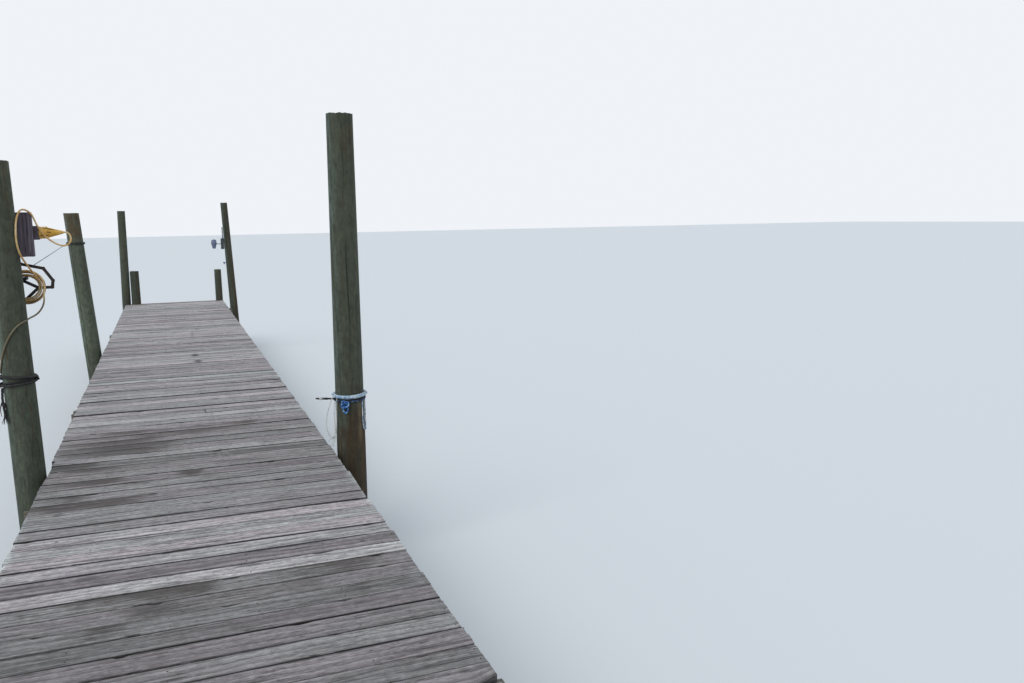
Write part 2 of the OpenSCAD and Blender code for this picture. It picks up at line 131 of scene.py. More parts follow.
def set_camera():
    """Turns a level camera that looks along +Y to the right, then down, then about its own axis."""
    cy, sy = math.cos(YAW_RIGHT), math.sin(YAW_RIGHT)
    cp, sp = math.cos(PITCH_DOWN), math.sin(PITCH_DOWN)
    cr, sr = math.cos(ROLL), math.sin(ROLL)
    level = np.array([[1, 0, 0], [0, 0, -1], [0, 1, 0]], float)
    turn = np.array([[cy, 0, -sy], [0, 1, 0], [sy, 0, cy]])
    tip = np.array([[1, 0, 0], [0, cp, -sp], [0, sp, cp]])
    roll = np.array([[cr, -sr, 0], [sr, cr, 0], [0, 0, 1]])
    right, down, ahead = roll @ tip @ turn @ level
    camera = bpy.data.objects.new("camera", bpy.data.cameras.new("camera"))
    camera.data.sensor_fit = "HORIZONTAL"
    camera.data.sensor_width = SENSOR_MM
    camera.data.lens = LENS_SHARE * SENSOR_MM
    camera.data.clip_start = SEEN_FROM
    camera.data.clip_end = SEEN_TO
    axes = np.stack([right, -down, -ahead], 1)
    camera.matrix_world = Matrix.Translation(EYE) @ Matrix(axes.tolist()).to_4x4()
    bpy.context.scene.collection.objects.link(camera)
    bpy.context.scene.camera = camera


# Smooth chance

# Seeds: a number for each kind of thing, to which each one's own number may be added
ROW_SEED = 1000
BOARD_SEED = 300
DIRT_SEED = 5000
STRINGER_SEED = 500
FASCIA_SEED = 600
CAP_SEED = 700
FAR_CAP_SEED = 790
PILE_SEED = 40
LOW_PILE_SEED = 90
HANGER_SEED = 810
BOX_SEED = 820
SADDLE_SEED = 830
BOLT_SEED = 9


def waves(t, seed, low=1.0, high=6.0, count=7):
    """Smooth noise along t: a sum of cosines whose frequencies run from low to high turns a unit,
    with phases and weights drawn from the seed, scaled to a spread of about one."""
    rng = np.random.default_rng(seed)
    turns = np.geomspace(low, high, count)
    phases = rng.uniform(0, TAU, count)
    weights = rng.uniform(0.5, 1, count) * (low / turns) ** 0.4
    t = np.asarray(t, float)
    total = (weights * np.cos(TAU * turns * t[..., None] + phases)).sum(-1)
    return total / np.sqrt((weights ** 2).sum() / 2) / 1.6


def waves_round(angle, t, seed, lobes=7, low=0.5, high=4.0):
    """Smooth noise over a round skin: a sum of cosines with a whole number of lobes round the angle,
    each fading in and out along t."""
    rng = np.random.default_rng(seed)
    total = 0
    for k in range(1, lobes + 1):
        phase = rng.uniform(0, TAU) + waves(t, seed + 31 * k, low, high, 4)
        total = total + rng.uniform(0.4, 1) / k ** 0.5 * np.cos(k * angle + phase)
    return total / 2


# Meshes

class Stock:
    """Gathers the skins of one piece, with the values that its grain follows."""

    def __init__(self):
        self.points, self.quads, self.tris, self.values = [], [], [], []
        self.count = 0

    def add(self, rings, grain=None, tone=1.0, stain=0.0, bloom=0.0, loop=False):
        """Joins each ring of points to the next by quads. Each ring closes on itself and turns
        right-handed about the way from ring to ring, so faces point out. Ends close on a middle
        point, or with loop the last ring joins the first."""
        rings = np.asarray(rings, float)
        n, m = rings.shape[:2]
        grain = rings if grain is None else grain
        worth = np.empty((n, m, 6))
        worth[..., :3] = grain
        worth[..., 3] = tone
        worth[..., 4] = stain
        worth[..., 5] = bloom
        i = np.arange(n if loop else n - 1)[:, None]
        j = np.arange(m)[None]
        ahead = (i + 1) % n
        beside = (j + 1) % m
        corners = (i * m + j, i * m + beside, ahead * m + beside, ahead * m + j)
        quads = np.stack(np.broadcast_arrays(*corners), -1)
        self.quads.append(quads.reshape(-1, 4) + self.count)
        self.points.append(rings.reshape(-1, 3))
        self.values.append(worth.reshape(-1, 6))
        if not loop:
            self.points.append(rings[[0, -1]].mean(1))
            self.values.append(worth[[0, -1]].mean(1))
            j = np.arange(m)
            first, last = np.full(m, n * m), np.full(m, n * m + 1)
            row = (n - 1) * m
            self.tris.append(np.stack([first, (j + 1) % m, j], -1) + self.count)
            self.tris.append(np.stack([last, row + j, row + (j + 1) % m], -1) + self.count)
            self.count += 2
        self.count += n * m

    def mesh(self, name):
        """The gathered skins as one mesh, with grain, tone, stain and bloom on its points; on the piles the
        bloom is painted light.
        """
        points = np.concatenate(self.points)
        quads = np.concatenate(self.quads)
        tris = np.concatenate(self.tris) if self.tris else np.zeros((0, 3), int)
        values = np.concatenate(self.values)
        corners = np.concatenate([quads.ravel(), tris.ravel()])
        starts = np.concatenate([np.arange(len(quads)) * 4, len(quads) * 4 + np.arange(len(tris)) * 3])
        mesh = bpy.data.meshes.new(name)
        mesh.vertices.add(len(points))
        mesh.vertices.foreach_set("co", points.ravel())
        mesh.loops.add(len(corners))
        mesh.loops.foreach_set("vertex_index", corners)
        mesh.polygons.add(len(starts))
        mesh.polygons.foreach_set("loop_start", starts)
        mesh.update(calc_edges=True)
        mesh.validate()
        grain = mesh.attributes.new("grain", "FLOAT_VECTOR", "POINT")
        grain.data.foreach_set("vector", np.ascontiguousarray(values[:, :3]).ravel())
        for column, word in enumerate(("tone", "stain", "bloom"), 3):
            layer = mesh.attributes.new(word, "FLOAT", "POINT")
            layer.data.foreach_set("value", np.ascontiguousarray(values[:, column]))
        return mesh


SHARP = math.radians(38)
ROPE_SHARP = math.radians(80)


def piece(stock, name, material, slot, *nodes, sharp=SHARP):
    """Puts a stock's mesh into the scene as one piece that stands for the nodes it names."""
    mesh = stock.mesh(name)
    mesh.materials.append(material)
    mesh.polygons.foreach_set("use_smooth", np.ones(len(mesh.polygons), bool))
    mesh.set_sharp_from_angle(angle=sharp)
    made = bpy.data.objects.new(name, mesh)
    bpy.context.scene.collection.objects.link(made)
    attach(made, "root")
    if nodes:
        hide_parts(*nodes)
    return made


def rope_piece(stock, name, material, slot, *nodes):
    """A piece whose skin stays smooth over the edges of its strands."""
    return piece(stock, name, material, slot, *nodes, sharp=ROPE_SHARP)


# Lines

def walked_along(line):
    """How far along a line each of its points lies."""
    return np.concatenate([[0], np.cumsum(np.linalg.norm(np.diff(line, axis=0), axis=1))])


def curve_through(points, step):
    """A smooth line through the points, cut to even steps: cubic stretches whose slope at each point
    is that of the chord between its neighbours."""
    p = np.asarray(points, float)
    t = walked_along(p)
    gaps = np.diff(t)
    slope = np.gradient(p, t, axis=0)
    at = np.linspace(0, t[-1], 12 * len(p))
    k = np.clip(np.searchsorted(t, at, side="right") - 1, 0, len(gaps) - 1)
    h = gaps[k][:, None]
    u = (at[:, None] - t[k][:, None]) / h
    line = ((2 * u ** 3 - 3 * u ** 2 + 1) * p[k] + (u ** 3 - 2 * u ** 2 + u) * h * slope[k]
            + (3 * u ** 2 - 2 * u ** 3) * p[k + 1] + (u ** 3 - u ** 2) * h * slope[k + 1])
    walked = walked_along(line)
    even = np.linspace(0, walked[-1], max(8, int(walked[-1] / step)))
    return np.stack([np.interp(even, walked, line[:, c]) for c in range(3)], -1)


def tangents(line, loop=False):
    """The way that a line runs at each of its points: from the one before it to the one after, made
    one metre long."""
    if loop:
        t = np.roll(line, -1, 0) - np.roll(line, 1, 0)
    else:
        t = np.gradient(line, axis=0)
    return t / np.linalg.norm(t, axis=1, keepdims=True)


def crosswise(t, loop=False):
    """Two directions square to each tangent: each is the one before with its part along the new
    tangent taken out. Round a loop, the turn that is left over is shared out evenly."""
    start = np.cross(t[0], [0, 0, 1.0] if abs(t[0][2]) < 0.9 else [1.0, 0, 0])
    across = [start / np.linalg.norm(start)]
    for d in t[1:]:
        n = across[-1] - np.dot(across[-1], d) * d
        across.append(n / np.linalg.norm(n))
    n = np.array(across)
    b = np.cross(t, n)
    if loop:
        back = n[-1] - np.dot(n[-1], t[0]) * t[0]
        over = math.atan2(np.dot(back, b[0]), np.dot(back, n[0]))
        turn = -over * np.linspace(0, 1, len(t), endpoint=False)[:, None]
        n, b = n * np.cos(turn) + b * np.sin(turn), b * np.cos(turn) - n * np.sin(turn)
    return n, b


# Length of one turn of a laid rope, and the depth of its grooves as a share of its radius
ROPE_LAY = 4.5
GROOVE = 0.26


def cord_rings(line, diameter, sides=14, strands=0, loop=False, taper=None):
    """A round section carried along a line. With strands, the section has that many lobes, its radius
    dipping between them as the size of a cosine does, and it turns once in a length of a few
    diameters, as laid rope does."""
    n, b = crosswise(tangents(line, loop), loop)
    angle = np.arange(sides) * TAU / sides
    radius = np.full((len(line), sides), diameter / 2)
    if strands:
        walked = walked_along(line)
        turns = walked / (ROPE_LAY * diameter)
        if loop:
            whole = walked[-1] + np.linalg.norm(line[0] - line[-1])
            turns = walked / whole * round(whole / (ROPE_LAY * diameter) * strands) / strands
        lobe = np.abs(np.cos(strands / 2 * (angle[None] - TAU * turns[:, None])))
        radius = radius * (1 - GROOVE + GROOVE * lobe ** 0.6)
    if taper is not None:
        radius = radius * taper[:, None]
    return line[:, None] + radius[..., None] * (np.cos(angle)[None, :, None] * n[:, None]
                                                + np.sin(angle)[None, :, None] * b[:, None])


def add_cord(stock, line, diameter, sides=14, strands=0, stain=0.0, loop=False, taper=None):
    """Adds a cord's skin to a stock. Its grain holds the way along it, then the angle round it as a
    cosine and a sine."""
    rings = cord_rings(line, diameter, sides, strands, loop, taper)
    angle = np.arange(sides) * TAU / sides
    grain = np.empty(rings.shape)
    grain[..., 0] = walked_along(line)[:, None]
    grain[..., 1] = np.cos(angle)
    grain[..., 2] = np.sin(angle)
    stock.add(rings, grain, stain=stain, loop=loop)


def cord_piece(name, line, diameter, material, slot, nodes, **shape):
    """One cord as a piece of its own."""
    stock = Stock()
    add_cord(stock, line, diameter, **shape)
    return rope_piece(stock, name, material, slot, *nodes)


# Materials

def srgb(colour):
    """A colour given as 0 to 255 on screen, as the linear values that shaders take."""
    c = np.array(colour) / 255
    linear = np.where(c <= 0.04045, c / 12.92, ((c + 0.055) / 1.055) ** 2.4)
    return tuple(float(v) for v in linear) + (1.0,)


def weighed(colour, *weights):
    """A linear colour with each part times its own weight, or all times the same one."""
    return tuple(v * w for v, w in zip(colour[:3], weights * (3 // len(weights)))) + (1.0,)


class Finish:
    """One material, built node by node. A socket takes a number, a colour or another node's output."""

    def __init__(self, name):
        self.material = bpy.data.materials.new(name)
        self.material.use_nodes = True
        self.tree = self.material.node_tree
        self.tree.nodes.clear()
        self.shader = self.node("ShaderNodeBsdfPrincipled")
        out = self.node("ShaderNodeOutputMaterial")
        self.tree.links.new(self.shader.outputs[0], out.inputs["Surface"])

    def node(self, kind, sockets=None, **settings):
        """A node of that kind, with its settings and what its sockets take."""
        made = self.tree.nodes.new(kind)
        for key, value in settings.items():
            setattr(made, key, value)
        for key, value in (sockets or {}).items():
            self.set(made.inputs[key], value)
        return made

    def set(self, socket, value):
        """Links an output to a socket, or puts a plain value there."""
        if isinstance(value, bpy.types.NodeSocket):
            self.tree.links.new(value, socket)
        else:
            socket.default_value = value

    def value(self, name, vector=False):
        """What the piece's own points hold under that name."""
        made = self.node("ShaderNodeAttribute", attribute_name=name)
        return made.outputs["Vector" if vector else "Fac"]

    def here(self):
        """The place on the piece, in metres."""
        return self.node("ShaderNodeTexCoord").outputs["Object"]

    def scaled(self, vector, scale, shift=(0, 0, 0)):
        """A vector times the scale, plus the shift."""
        sockets = {"Vector": vector, "Scale": scale, "Location": shift}
        return self.node("ShaderNodeMapping", sockets).outputs[0]

    def noise(self, vector, scale=1.0, detail=3.0, roughness=0.55):
        """Smooth noise about a half, with that many waves to the metre."""
        made = self.node("ShaderNodeTexNoise", {"Vector": vector, "Scale": scale, "Detail": detail,
                                                "Roughness": roughness})
        return made.outputs["Fac"]

    def calc(self, operation, a, b=0.0, c=0.0, clamp=False):
        """One operation on up to three values, held between 0 and 1 if clamp says so."""
        made = self.node("ShaderNodeMath", {0: a, 1: b, 2: c}, operation=operation, use_clamp=clamp)
        return made.outputs[0]

    def times(self, a, b, clamp=False):
        """A times b."""
        return self.calc("MULTIPLY", a, b, clamp=clamp)

    def plus(self, a, b):
        """A plus b."""
        return self.calc("ADD", a, b)

    def less(self, a, b):
        """A less b."""
        return self.calc("SUBTRACT", a, b)

    def sloped(self, value, slope, start, clamp=False):
        """Start, plus slope times the value."""
        return self.calc("MULTIPLY_ADD", value, slope, start, clamp=clamp)

    def ramp(self, factor, low, high, ease=True):
        """Rises from 0 to 1 as the factor goes from low to high."""
        made = self.node("ShaderNodeMapRange", {"Value": factor, "From Min": low, "From Max": high},
                         interpolation_type="SMOOTHSTEP" if ease else "LINEAR")
        return made.outputs["Result"]

    def mix(self, factor, a, b, mode="MIX"):
        """Colour a where the factor is 0 and b where it is 1, or their product by that share."""
        made = self.node("ShaderNodeMix", {0: factor, 6: a, 7: b}, data_type="RGBA", blend_type=mode)
        return made.outputs[2]

    def bump(self, height, strength, distance):
        """Makes light fall as if the surface rose by the height times the distance."""
        made = self.node("ShaderNodeBump", {"Height": height, "Strength": strength, "Distance": distance})
        self.set(self.shader.inputs["Normal"], made.outputs[0])

    def finish(self, colour, roughness, **uniform):
        """The finished material. What is the same all over goes on the shader's own sockets."""
        self.set(self.shader.inputs["Base Color"], colour)
        self.set(self.shader.inputs["Roughness"], roughness)
        for key, value in uniform.items():
            self.shader.inputs[key.replace("_", " ")].default_value = value
        return self.material


NO_TINTS = ((1, 1, 1), (1, 1, 1))


def timber(name, *colours, tints=NO_TINTS, cracks=1.0, rough=0.75, contrast=1.0, bands=9.0, knots=0.92,
           mottle=0.0, fine=0.5, bumps=0.6, short=1.0):
    """Old sawn or round timber, in four colours: pale, deep, stained and bloomed; on the piles the bloomed
    colour is mostly painted light on their lit side. Fibres, streaks and slow rings run along the grain,
    splits and short dark flecks open here and there, a knot sits in one cell in some, the hue drifts between
    two tints, a mottle darkens and lightens small spots, and a stain and a bloom lie where the piece's own
    values put them, broken up by the streaks. Fine is how much of the streaks is thin fibre, and a higher
    short makes both of them shorter."""
    f = Finish(name)
    pale, deep, stained, bloomed = map(srgb, colours)
    grain = f.value("grain", vector=True)

    def along_grain(scale, shift=(0, 0, 0), **kind):
        """Noise whose waves to the metre along and across the grain are those of the scale."""
        return f.noise(f.scaled(grain, scale, shift), **kind)

    fibre = along_grain((9 * short, 190, 190), detail=4, roughness=0.7)
    streak = along_grain((1.6 * short, 52, 52), detail=5, roughness=0.7)
    flow = f.node("ShaderNodeTexWave", {"Vector": f.scaled(grain, (0.16, 1, 1)), "Scale": bands,
                                        "Distortion": 7.0, "Detail": 3.0, "Detail Scale": 1.2,
                                        "Detail Roughness": 0.6}, wave_type="BANDS",
                  bands_direction="Y", wave_profile="SAW").outputs["Fac"]
    patch = along_grain((1.3, 6, 6), detail=4, roughness=0.65)

    split = along_grain((0.9, 30, 30), detail=3, roughness=0.55)
    line = f.calc("ABSOLUTE", f.less(split, 0.5))
    there = f.ramp(along_grain((2.0, 11, 11), (3.1, 1.7, 0.4), detail=2), 0.5, 0.6)
    crack = f.times(f.less(1.0, f.ramp(line, 0.004, 0.035)), there)
    fleck = f.ramp(along_grain((11, 75, 75), detail=2), 0.665, 0.73)
    crack = f.times(f.calc("MAXIMUM", crack, fleck), cracks, clamp=True)
    cell = f.node("ShaderNodeTexVoronoi", {"Vector": grain, "Scale": 6.5, "Randomness": 1.0})
    pick = f.node("ShaderNodeSeparateColor", {0: cell.outputs["Color"]}).outputs[0]
    knot = f.less(1.0, f.ramp(cell.outputs["Distance"], 0.05, 0.11))
    knot = f.times(knot, f.calc("GREATER_THAN", pick, knots))

    thin, wide = f.times(fibre, 0.86 * fine), f.times(streak, 0.86 - 0.86 * fine)
    light = f.plus(f.plus(thin, wide), f.times(flow, 0.14))
    light = f.ramp(light, 0.5 - 0.17 / contrast, 0.5 + 0.17 / contrast, ease=False)
    colour = f.mix(light, deep, pale)
    hue = f.ramp(along_grain((0.25, 1.2, 1.2), (7.3, 2.9, 5.1), detail=2), 0.42, 0.58)
    colour = f.mix(1.0, colour, f.mix(hue, tints[0] + (1.0,), tints[1] + (1.0,)), "MULTIPLY")
    broken = along_grain((6, 110, 110), (1.9, 0.3, 4.4), detail=5, roughness=0.7)
    soaked = f.plus(f.value("stain"), f.sloped(broken, 2.6, -1.3))
    soaked = f.times(f.ramp(soaked, 0.2, 0.75), f.ramp(patch, 0.2, 0.5))
    soaked = f.times(soaked, f.sloped(streak, -1.5, 1.55, clamp=True))
    colour = f.mix(soaked, colour, stained)
    # The bloomed colour goes where the bloom value says: grey green bloom on boards and frame, painted light
    # on the lit side of the piles
    colour = f.mix(f.times(f.value("bloom"), f.ramp(streak, 0.35, 0.65)), colour, bloomed)

    shade = f.times(f.value("tone"), f.sloped(patch, 0.9, 0.55))
    if mottle:
        spots = along_grain((9 * short, 30, 30), (2.3, 5.1, 0.7), detail=4, roughness=0.75)
        shade = f.times(shade, f.sloped(spots, 2 * mottle, 1 - mottle))
    dim = f.node("ShaderNodeCombineColor", {0: shade, 1: shade, 2: shade}).outputs[0]
    colour = f.mix(1.0, colour, dim, "MULTIPLY")
    colour = f.mix(f.times(knot, 0.8), colour, weighed(deep, 0.62, 0.5, 0.42))
    colour = f.mix(f.times(crack, 0.8), colour, weighed(deep, 0.2))
    height = f.plus(f.times(fibre, 0.45), f.times(streak, 0.6))
    height = f.plus(height, f.times(flow, 0.1))
    f.bump(f.less(height, f.times(crack, 1.2)), bumps, 0.003)
    return f.finish(colour, f.sloped(light, 0.12, rough - 0.06))


ROPE_ROUGH = 0.7


def rope_finish(name, *colours, share=0.5):
    """Laid rope: yarn lines across the strands, flecks of a second colour, dirt in the grooves."""
    f = Finish(name)
    main, fleck, dirt = map(srgb, colours)
    grain = f.value("grain", vector=True)
    yarn = f.node("ShaderNodeTexWave", {"Vector": f.scaled(grain, (160, 1.6, 1.6)), "Scale": 1.0,
                                        "Distortion": 2.0, "Detail": 2.0}, wave_type="BANDS",
                  bands_direction="X").outputs["Fac"]
    spots = f.noise(f.here(), 60, 3)
    soiled = f.noise(f.here(), 14, 4, 0.65)
    colour = f.mix(f.ramp(spots, 0.62 - 0.3 * share, 0.72 - 0.3 * share), main, fleck)
    colour = f.mix(f.times(f.ramp(soiled, 0.45, 0.75), 0.55), colour, dirt)
    colour = f.mix(f.times(f.less(1.0, yarn), 0.3), colour, dirt)
    f.bump(yarn, 0.5, 0.0012)
    return f.finish(colour, ROPE_ROUGH)


# Dull grey green for the cable's jacket; on the cable's low end it is painted shade
DULL_AND_SHADED_JACKET = (74, 76, 66)


def rubber_finish(name, *colours):
    """A rubber jacket: faded in patches, with grime in spots, faint scuffs, and turned to a dull grey green
    where the piece's own stain says, which on the cable's low end is painted shade."""
    f = Finish(name)
    main, faded, grime = map(srgb, colours)
    fade = f.noise(f.here(), 9, 4, 0.6)
    spot = f.noise(f.here(), 70, 4, 0.7)
    colour = f.mix(f.ramp(fade, 0.4, 0.65), main, faded)
    colour = f.mix(f.times(f.ramp(spot, 0.52, 0.74), 0.55), colour, grime)
    colour = f.mix(f.value("stain"), colour, srgb(DULL_AND_SHADED_JACKET))
    f.bump(spot, 0.25, 0.0006)
    return f.finish(colour, f.sloped(spot, 0.25, 0.4))


def metal_finish(name, paint, bare, metallic, rough, chips=0.6):
    """Painted or coated metal, with chips down to rusty or bare metal."""
    f = Finish(name)
    paint, bare = srgb(paint), srgb(bare)
    chip = f.ramp(f.noise(f.here(), 55, 5, 0.7), chips, chips + 0.08)
    blotch = f.noise(f.here(), 12, 3)
    colour = f.mix(f.times(f.ramp(blotch, 0.4, 0.7), 0.35), paint, bare)
    colour = f.mix(chip, colour, bare)
    f.bump(f.less(f.times(blotch, 0.3), chip), 0.3, 0.0007)
    return f.finish(colour, f.sloped(blotch, 0.2, rough), Metallic=metallic)


DECK_WOOD = timber("deck wood", (184, 180, 182), (74, 71, 72), (60, 49, 43), (176, 184, 182),
                   tints=((1.04, 0.975, 1.0), (0.98, 1.01, 0.99)), rough=0.64, contrast=1.15, bands=7.0,
                   mottle=0.62, fine=0.6, bumps=0.5, short=3.4)
FRAME_WOOD = timber("frame wood", (140, 139, 132), (70, 70, 64), (96, 72, 52), (112, 124, 104), rough=0.78)
FASCIA_WOOD = timber("fascia wood", (150, 112, 92), (84, 58, 46), (90, 62, 50), (150, 140, 130), rough=0.78)
# The pile wood's last colour, a pale teal, is painted light on the lit side of the piles
PILE_WOOD = timber("pile wood", (76, 82, 69), (50, 55, 46), (64, 46, 24), (93, 109, 102),
                   tints=((1.03, 0.99, 0.93), (0.98, 1.01, 0.99)), cracks=0.5, rough=0.9, contrast=0.62,
                   bands=5.0, knots=0.95, mottle=0.9, fine=0.6, bumps=0.35, short=1.9)
HANGER_WOOD = timber("hanger wood", (122, 112, 124), (66, 58, 68), (90, 72, 64), (140, 134, 140))
NAIL_METAL = metal_finish("nail rust", (62, 46, 38), (104, 64, 40), 0.4, 0.6)
BOLT_METAL = metal_finish("bolt zinc", (120, 122, 120), (112, 72, 48), 0.6, 0.5, chips=0.55)
HOOK_METAL = metal_finish("hook paint", (22, 22, 25), (78, 52, 38), 0.1, 0.45, chips=0.68)
LAMP_METAL = metal_finish("lamp paint", (106, 116, 142), (74, 76, 84), 0.15, 0.5, chips=0.66)
TAP_PAINT = metal_finish("tap paint", (36, 84, 170), (90, 100, 110), 0.0, 0.45, chips=0.7)
BOX_METAL = metal_finish("box paint", (58, 66, 66), (84, 80, 74), 0.1, 0.5, chips=0.66)
CABLE_RUBBER = rubber_finish("cable rubber", (202, 156, 90), (212, 184, 134), (104, 78, 48))
PLUG_RUBBER = rubber_finish("plug rubber", (208, 158, 56), (218, 180, 100), (104, 76, 38))
BLACK_ROPE = rope_finish("black rope", (20, 20, 22), (52, 50, 50), (36, 36, 33), share=0.3)
DARK_LINE = rope_finish("dark line", (46, 50, 66), (84, 90, 106), (38, 40, 48), share=0.3)
BLUE_ROPE = rope_finish("blue rope", (124, 164, 200), (222, 232, 238), (84, 100, 118), share=0.55)
NAVY_ROPE = rope_finish("navy rope", (28, 44, 78), (84, 118, 158), (16, 18, 28), share=0.3)
PALE_ROPE = rope_finish("pale rope", (204, 220, 230), (140, 180, 212), (96, 112, 124), share=0.4)
# The bright rope's pale blue flecks are partly painted highlights
BRIGHT_ROPE = rope_finish("bright rope", (32, 98, 182), (150, 200, 236), (20, 44, 90), share=0.45)
WHITE_ROPE = rope_finish("white rope", (222, 224, 220), (176, 190, 200), (142, 142, 134), share=0.3)


# Cables and ropes

def from_pile(points, foot):
    """Points given in millimetres from a pile's axis at the deck, as metres plus that place."""
    return np.asarray(points, float) * MM + foot


def ring_points(name, foot, angle, z, out):
    """Points at angles in radians and heights over the deck, that far out from a pile's axis: the
    axis at that height, plus the distance times the angle's cosine and sine."""
    return foot + np.stack([z * slope_of(name) + out * np.cos(angle), out * np.sin(angle), z], -1)


def round_pile(name, foot, pairs, standing):
    """Points round a pile, from pairs of an angle in degrees and a height above the deck in
    millimetres, their middles standing that far off its side."""
    angle = np.radians([p[0] for p in pairs])
    z = np.array([p[1] for p in pairs]) * MM
    return ring_points(name, foot, angle, z, pile_radius(name, z) + standing)


# Routes: one with three numbers a point holds x, y and z from its pile's axis at the deck, in
# millimetres; one with two holds degrees round the pile from +X and millimetres over the deck
CABLE_D = 0.011
LOOP_ROUTE = [
    (311, 144, 1560), (326, 144, 1560), (341, 145, 1550), (350, 143, 1528), (348, 134, 1502),
    (334, 121, 1482), (308, 108, 1474), (276, 98, 1483), (245, 95, 1503), (218, 96, 1527),
    (196, 98, 1554), (178, 100, 1584), (163, 101, 1616), (153, 96, 1648), (142, 82, 1678),
    (122, 68, 1701), (101, 48, 1709), (86, 20, 1700), (76, -14, 1674), (68, -38, 1630),
    (64, -50, 1578), (62, -53, 1526), (65, -50, 1478), (72, -38, 1436), (86, -6, 1390),
    (104, 46, 1342), (122, 82, 1303), (137, 92, 1273),
]
FALL_ROUTE = [
    (167, 101, 1156), (167, 98, 1130), (161, 90, 1098), (148, 78, 1069), (130, 62, 1046),
    (107, 44, 1029), (83, 20, 1018),
]
CABLE_WRAP = [
    (-21, 1011), (-44, 1002), (-64, 984), (-86, 944), (-104, 897), (-118, 850), (-134, 790),
    (-148, 733), (-158, 700), (-162, 681),
]
CABLE_STEP = 0.007
# The coil: its radius, the radius of its bundle, points in a turn, and where its turns start and stop
COIL_R = 0.09
COIL_BUNDLE = 0.017
COIL_POINTS = 13
COIL_ANGLES = (math.radians(20), math.radians(-2160))
BUNDLE_START = math.radians(-90)
BUNDLE_TURN = math.radians(308)
# Height over the deck under which the cable turns dull grey green as painted shade, and how soon
SHADED_BELOW = 1.156
SHADE_OVER = 0.06


def coil_turns():
    """Six turns and a bit: the angle runs on round the coil while the cable's place in the bundle
    moves slowly round a small circle, so each turn lies beside the last."""
    low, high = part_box("cable_coil")
    middle = np.array((low + high) / 2)
    start, stop = COIL_ANGLES
    share = np.linspace(0, 1, int((start - stop) / TAU * COIL_POINTS))
    angle = start + (stop - start) * share
    place = BUNDLE_START - BUNDLE_TURN * share
    out = COIL_R + COIL_BUNDLE * np.cos(place) + 0.0012 * waves(share, 5, 8, 20)
    deep = COIL_BUNDLE * np.sin(place)
    return middle + np.stack([out * np.cos(angle), deep, out * np.sin(angle)], -1)


def hang_cable():
    """The cable from the rope that grips it, up round the pile, through its coil and over the
    hanger to its plug."""
    wrap = round_pile("pile_near_left", NEAR_LEFT, CABLE_WRAP, CABLE_D / 2 + 2 * FIT)
    route = np.concatenate([wrap[::-1], from_pile(FALL_ROUTE, NEAR_LEFT)[::-1], coil_turns()[::-1],
                            from_pile(LOOP_ROUTE, NEAR_LEFT)[::-1]])
    line = curve_through(route, CABLE_STEP)
    # Painted shade: under that height the cable's low end turns almost fully dull grey green; further along
    # most of the cable is a little dull
    low = unit((NEAR_LEFT[2] + SHADED_BELOW - line[:, 2]) / SHADE_OVER)
    share = np.linspace(0, 1, len(line))
    stain = np.where(share < 0.25, 0.85 * low, np.where(share < 0.8, 0.3, 0.0))
    cable = cord_piece("cable", line, CABLE_D, CABLE_RUBBER, "cable_rubber",
                       ("cable_loop", "cable_coil", "cable_tail"), stain=stain[:, None])
    list(cable_plug())


def turned(profile, foot=(0, 0, 0), axis="z", sides=32):
    """Rings of a turned shape: each pair of the profile is a place along the axis and a radius."""
    profile = np.asarray(profile, float)
    angle = np.arange(sides) * TAU / sides
    along = np.repeat(profile[:, :1], sides, 1)
    c = profile[:, 1:] * np.cos(angle)
    s = profile[:, 1:] * np.sin(angle)
    rings = {"z": [c, s, along], "x": [along, c, s], "y": [s, along, c]}[axis]
    return np.stack(rings, -1) + np.asarray(foot, float)


# The plug's largest radius and its length
PLUG_R = 0.040
PLUG_L = 0.141
# The plug's ribbed body, as shares of its length and radius
PLUG_BODY = [
    (0, 0.55), (0, 0.92), (0.02, 1.0), (0.09, 1.0), (0.1, 0.93), (0.14, 0.93), (0.15, 1.0), (0.2, 1.0),
    (0.21, 0.93), (0.25, 0.93), (0.26, 1.0), (0.33, 0.99), (0.36, 0.86),
]
BOOT_RINGS = 7
BOOT_STEP = 0.085
# Dark strips on the plug's side, painted shade that stands for its slots: height on the body as a share of
# its radius, and from and to along it
PLUG_SLOT_SHADES = ((0.72, 0.16, 0.66), (-0.45, 0.05, 0.4), (0.1, 0.3, 0.52))
SLOT_D = 0.006
SLOT_POINTS = 24


def cable_plug():
    """The plug: a ribbed body, a collar, and a boot that steps down to the cable in rings."""
    low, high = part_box("cable_plug")
    foot = (low.x, (low.y + high.y) / 2, (low.z + high.z) / 2)
    boot = []
    for k in range(BOOT_RINGS):
        at = 0.4 + BOOT_STEP * k
        size = 0.8 - BOOT_STEP * k
        boot += [(at, size), (at + 0.045, size - 0.01), (at + 0.05, size - 0.07), (at + 0.078, size - 0.075)]
    neck = CABLE_D / 2 / PLUG_R
    profile = np.array(PLUG_BODY + boot + [(0.99, neck * 1.15), (1.0, neck * 1.1)])
    stock = Stock()
    stock.add(turned(profile * (PLUG_L, PLUG_R), foot, "x"))
    plug = piece(stock, "plug", PLUG_RUBBER, "cable_rubber", "cable_plug")
    # Painted shade: black strips laid on the body where its slots would be dark
    slot_shades = Stock()
    thinning = np.sin(np.linspace(0.35, math.pi - 0.35, SLOT_POINTS))
    for up, start, stop in PLUG_SLOT_SHADES:
        along = np.linspace(start, stop, SLOT_POINTS)
        size = np.interp(along, profile[:, 0], profile[:, 1]) * PLUG_R
        line = np.stack([along * PLUG_L, -size * math.sqrt(1 - up * up), size * up], -1) + foot
        slot_shades.add(cord_rings(line, SLOT_D, 8, taper=thinning))
    return plug, piece(slot_shades, "plug_slot_shades", HOOK_METAL, "cable_rubber")


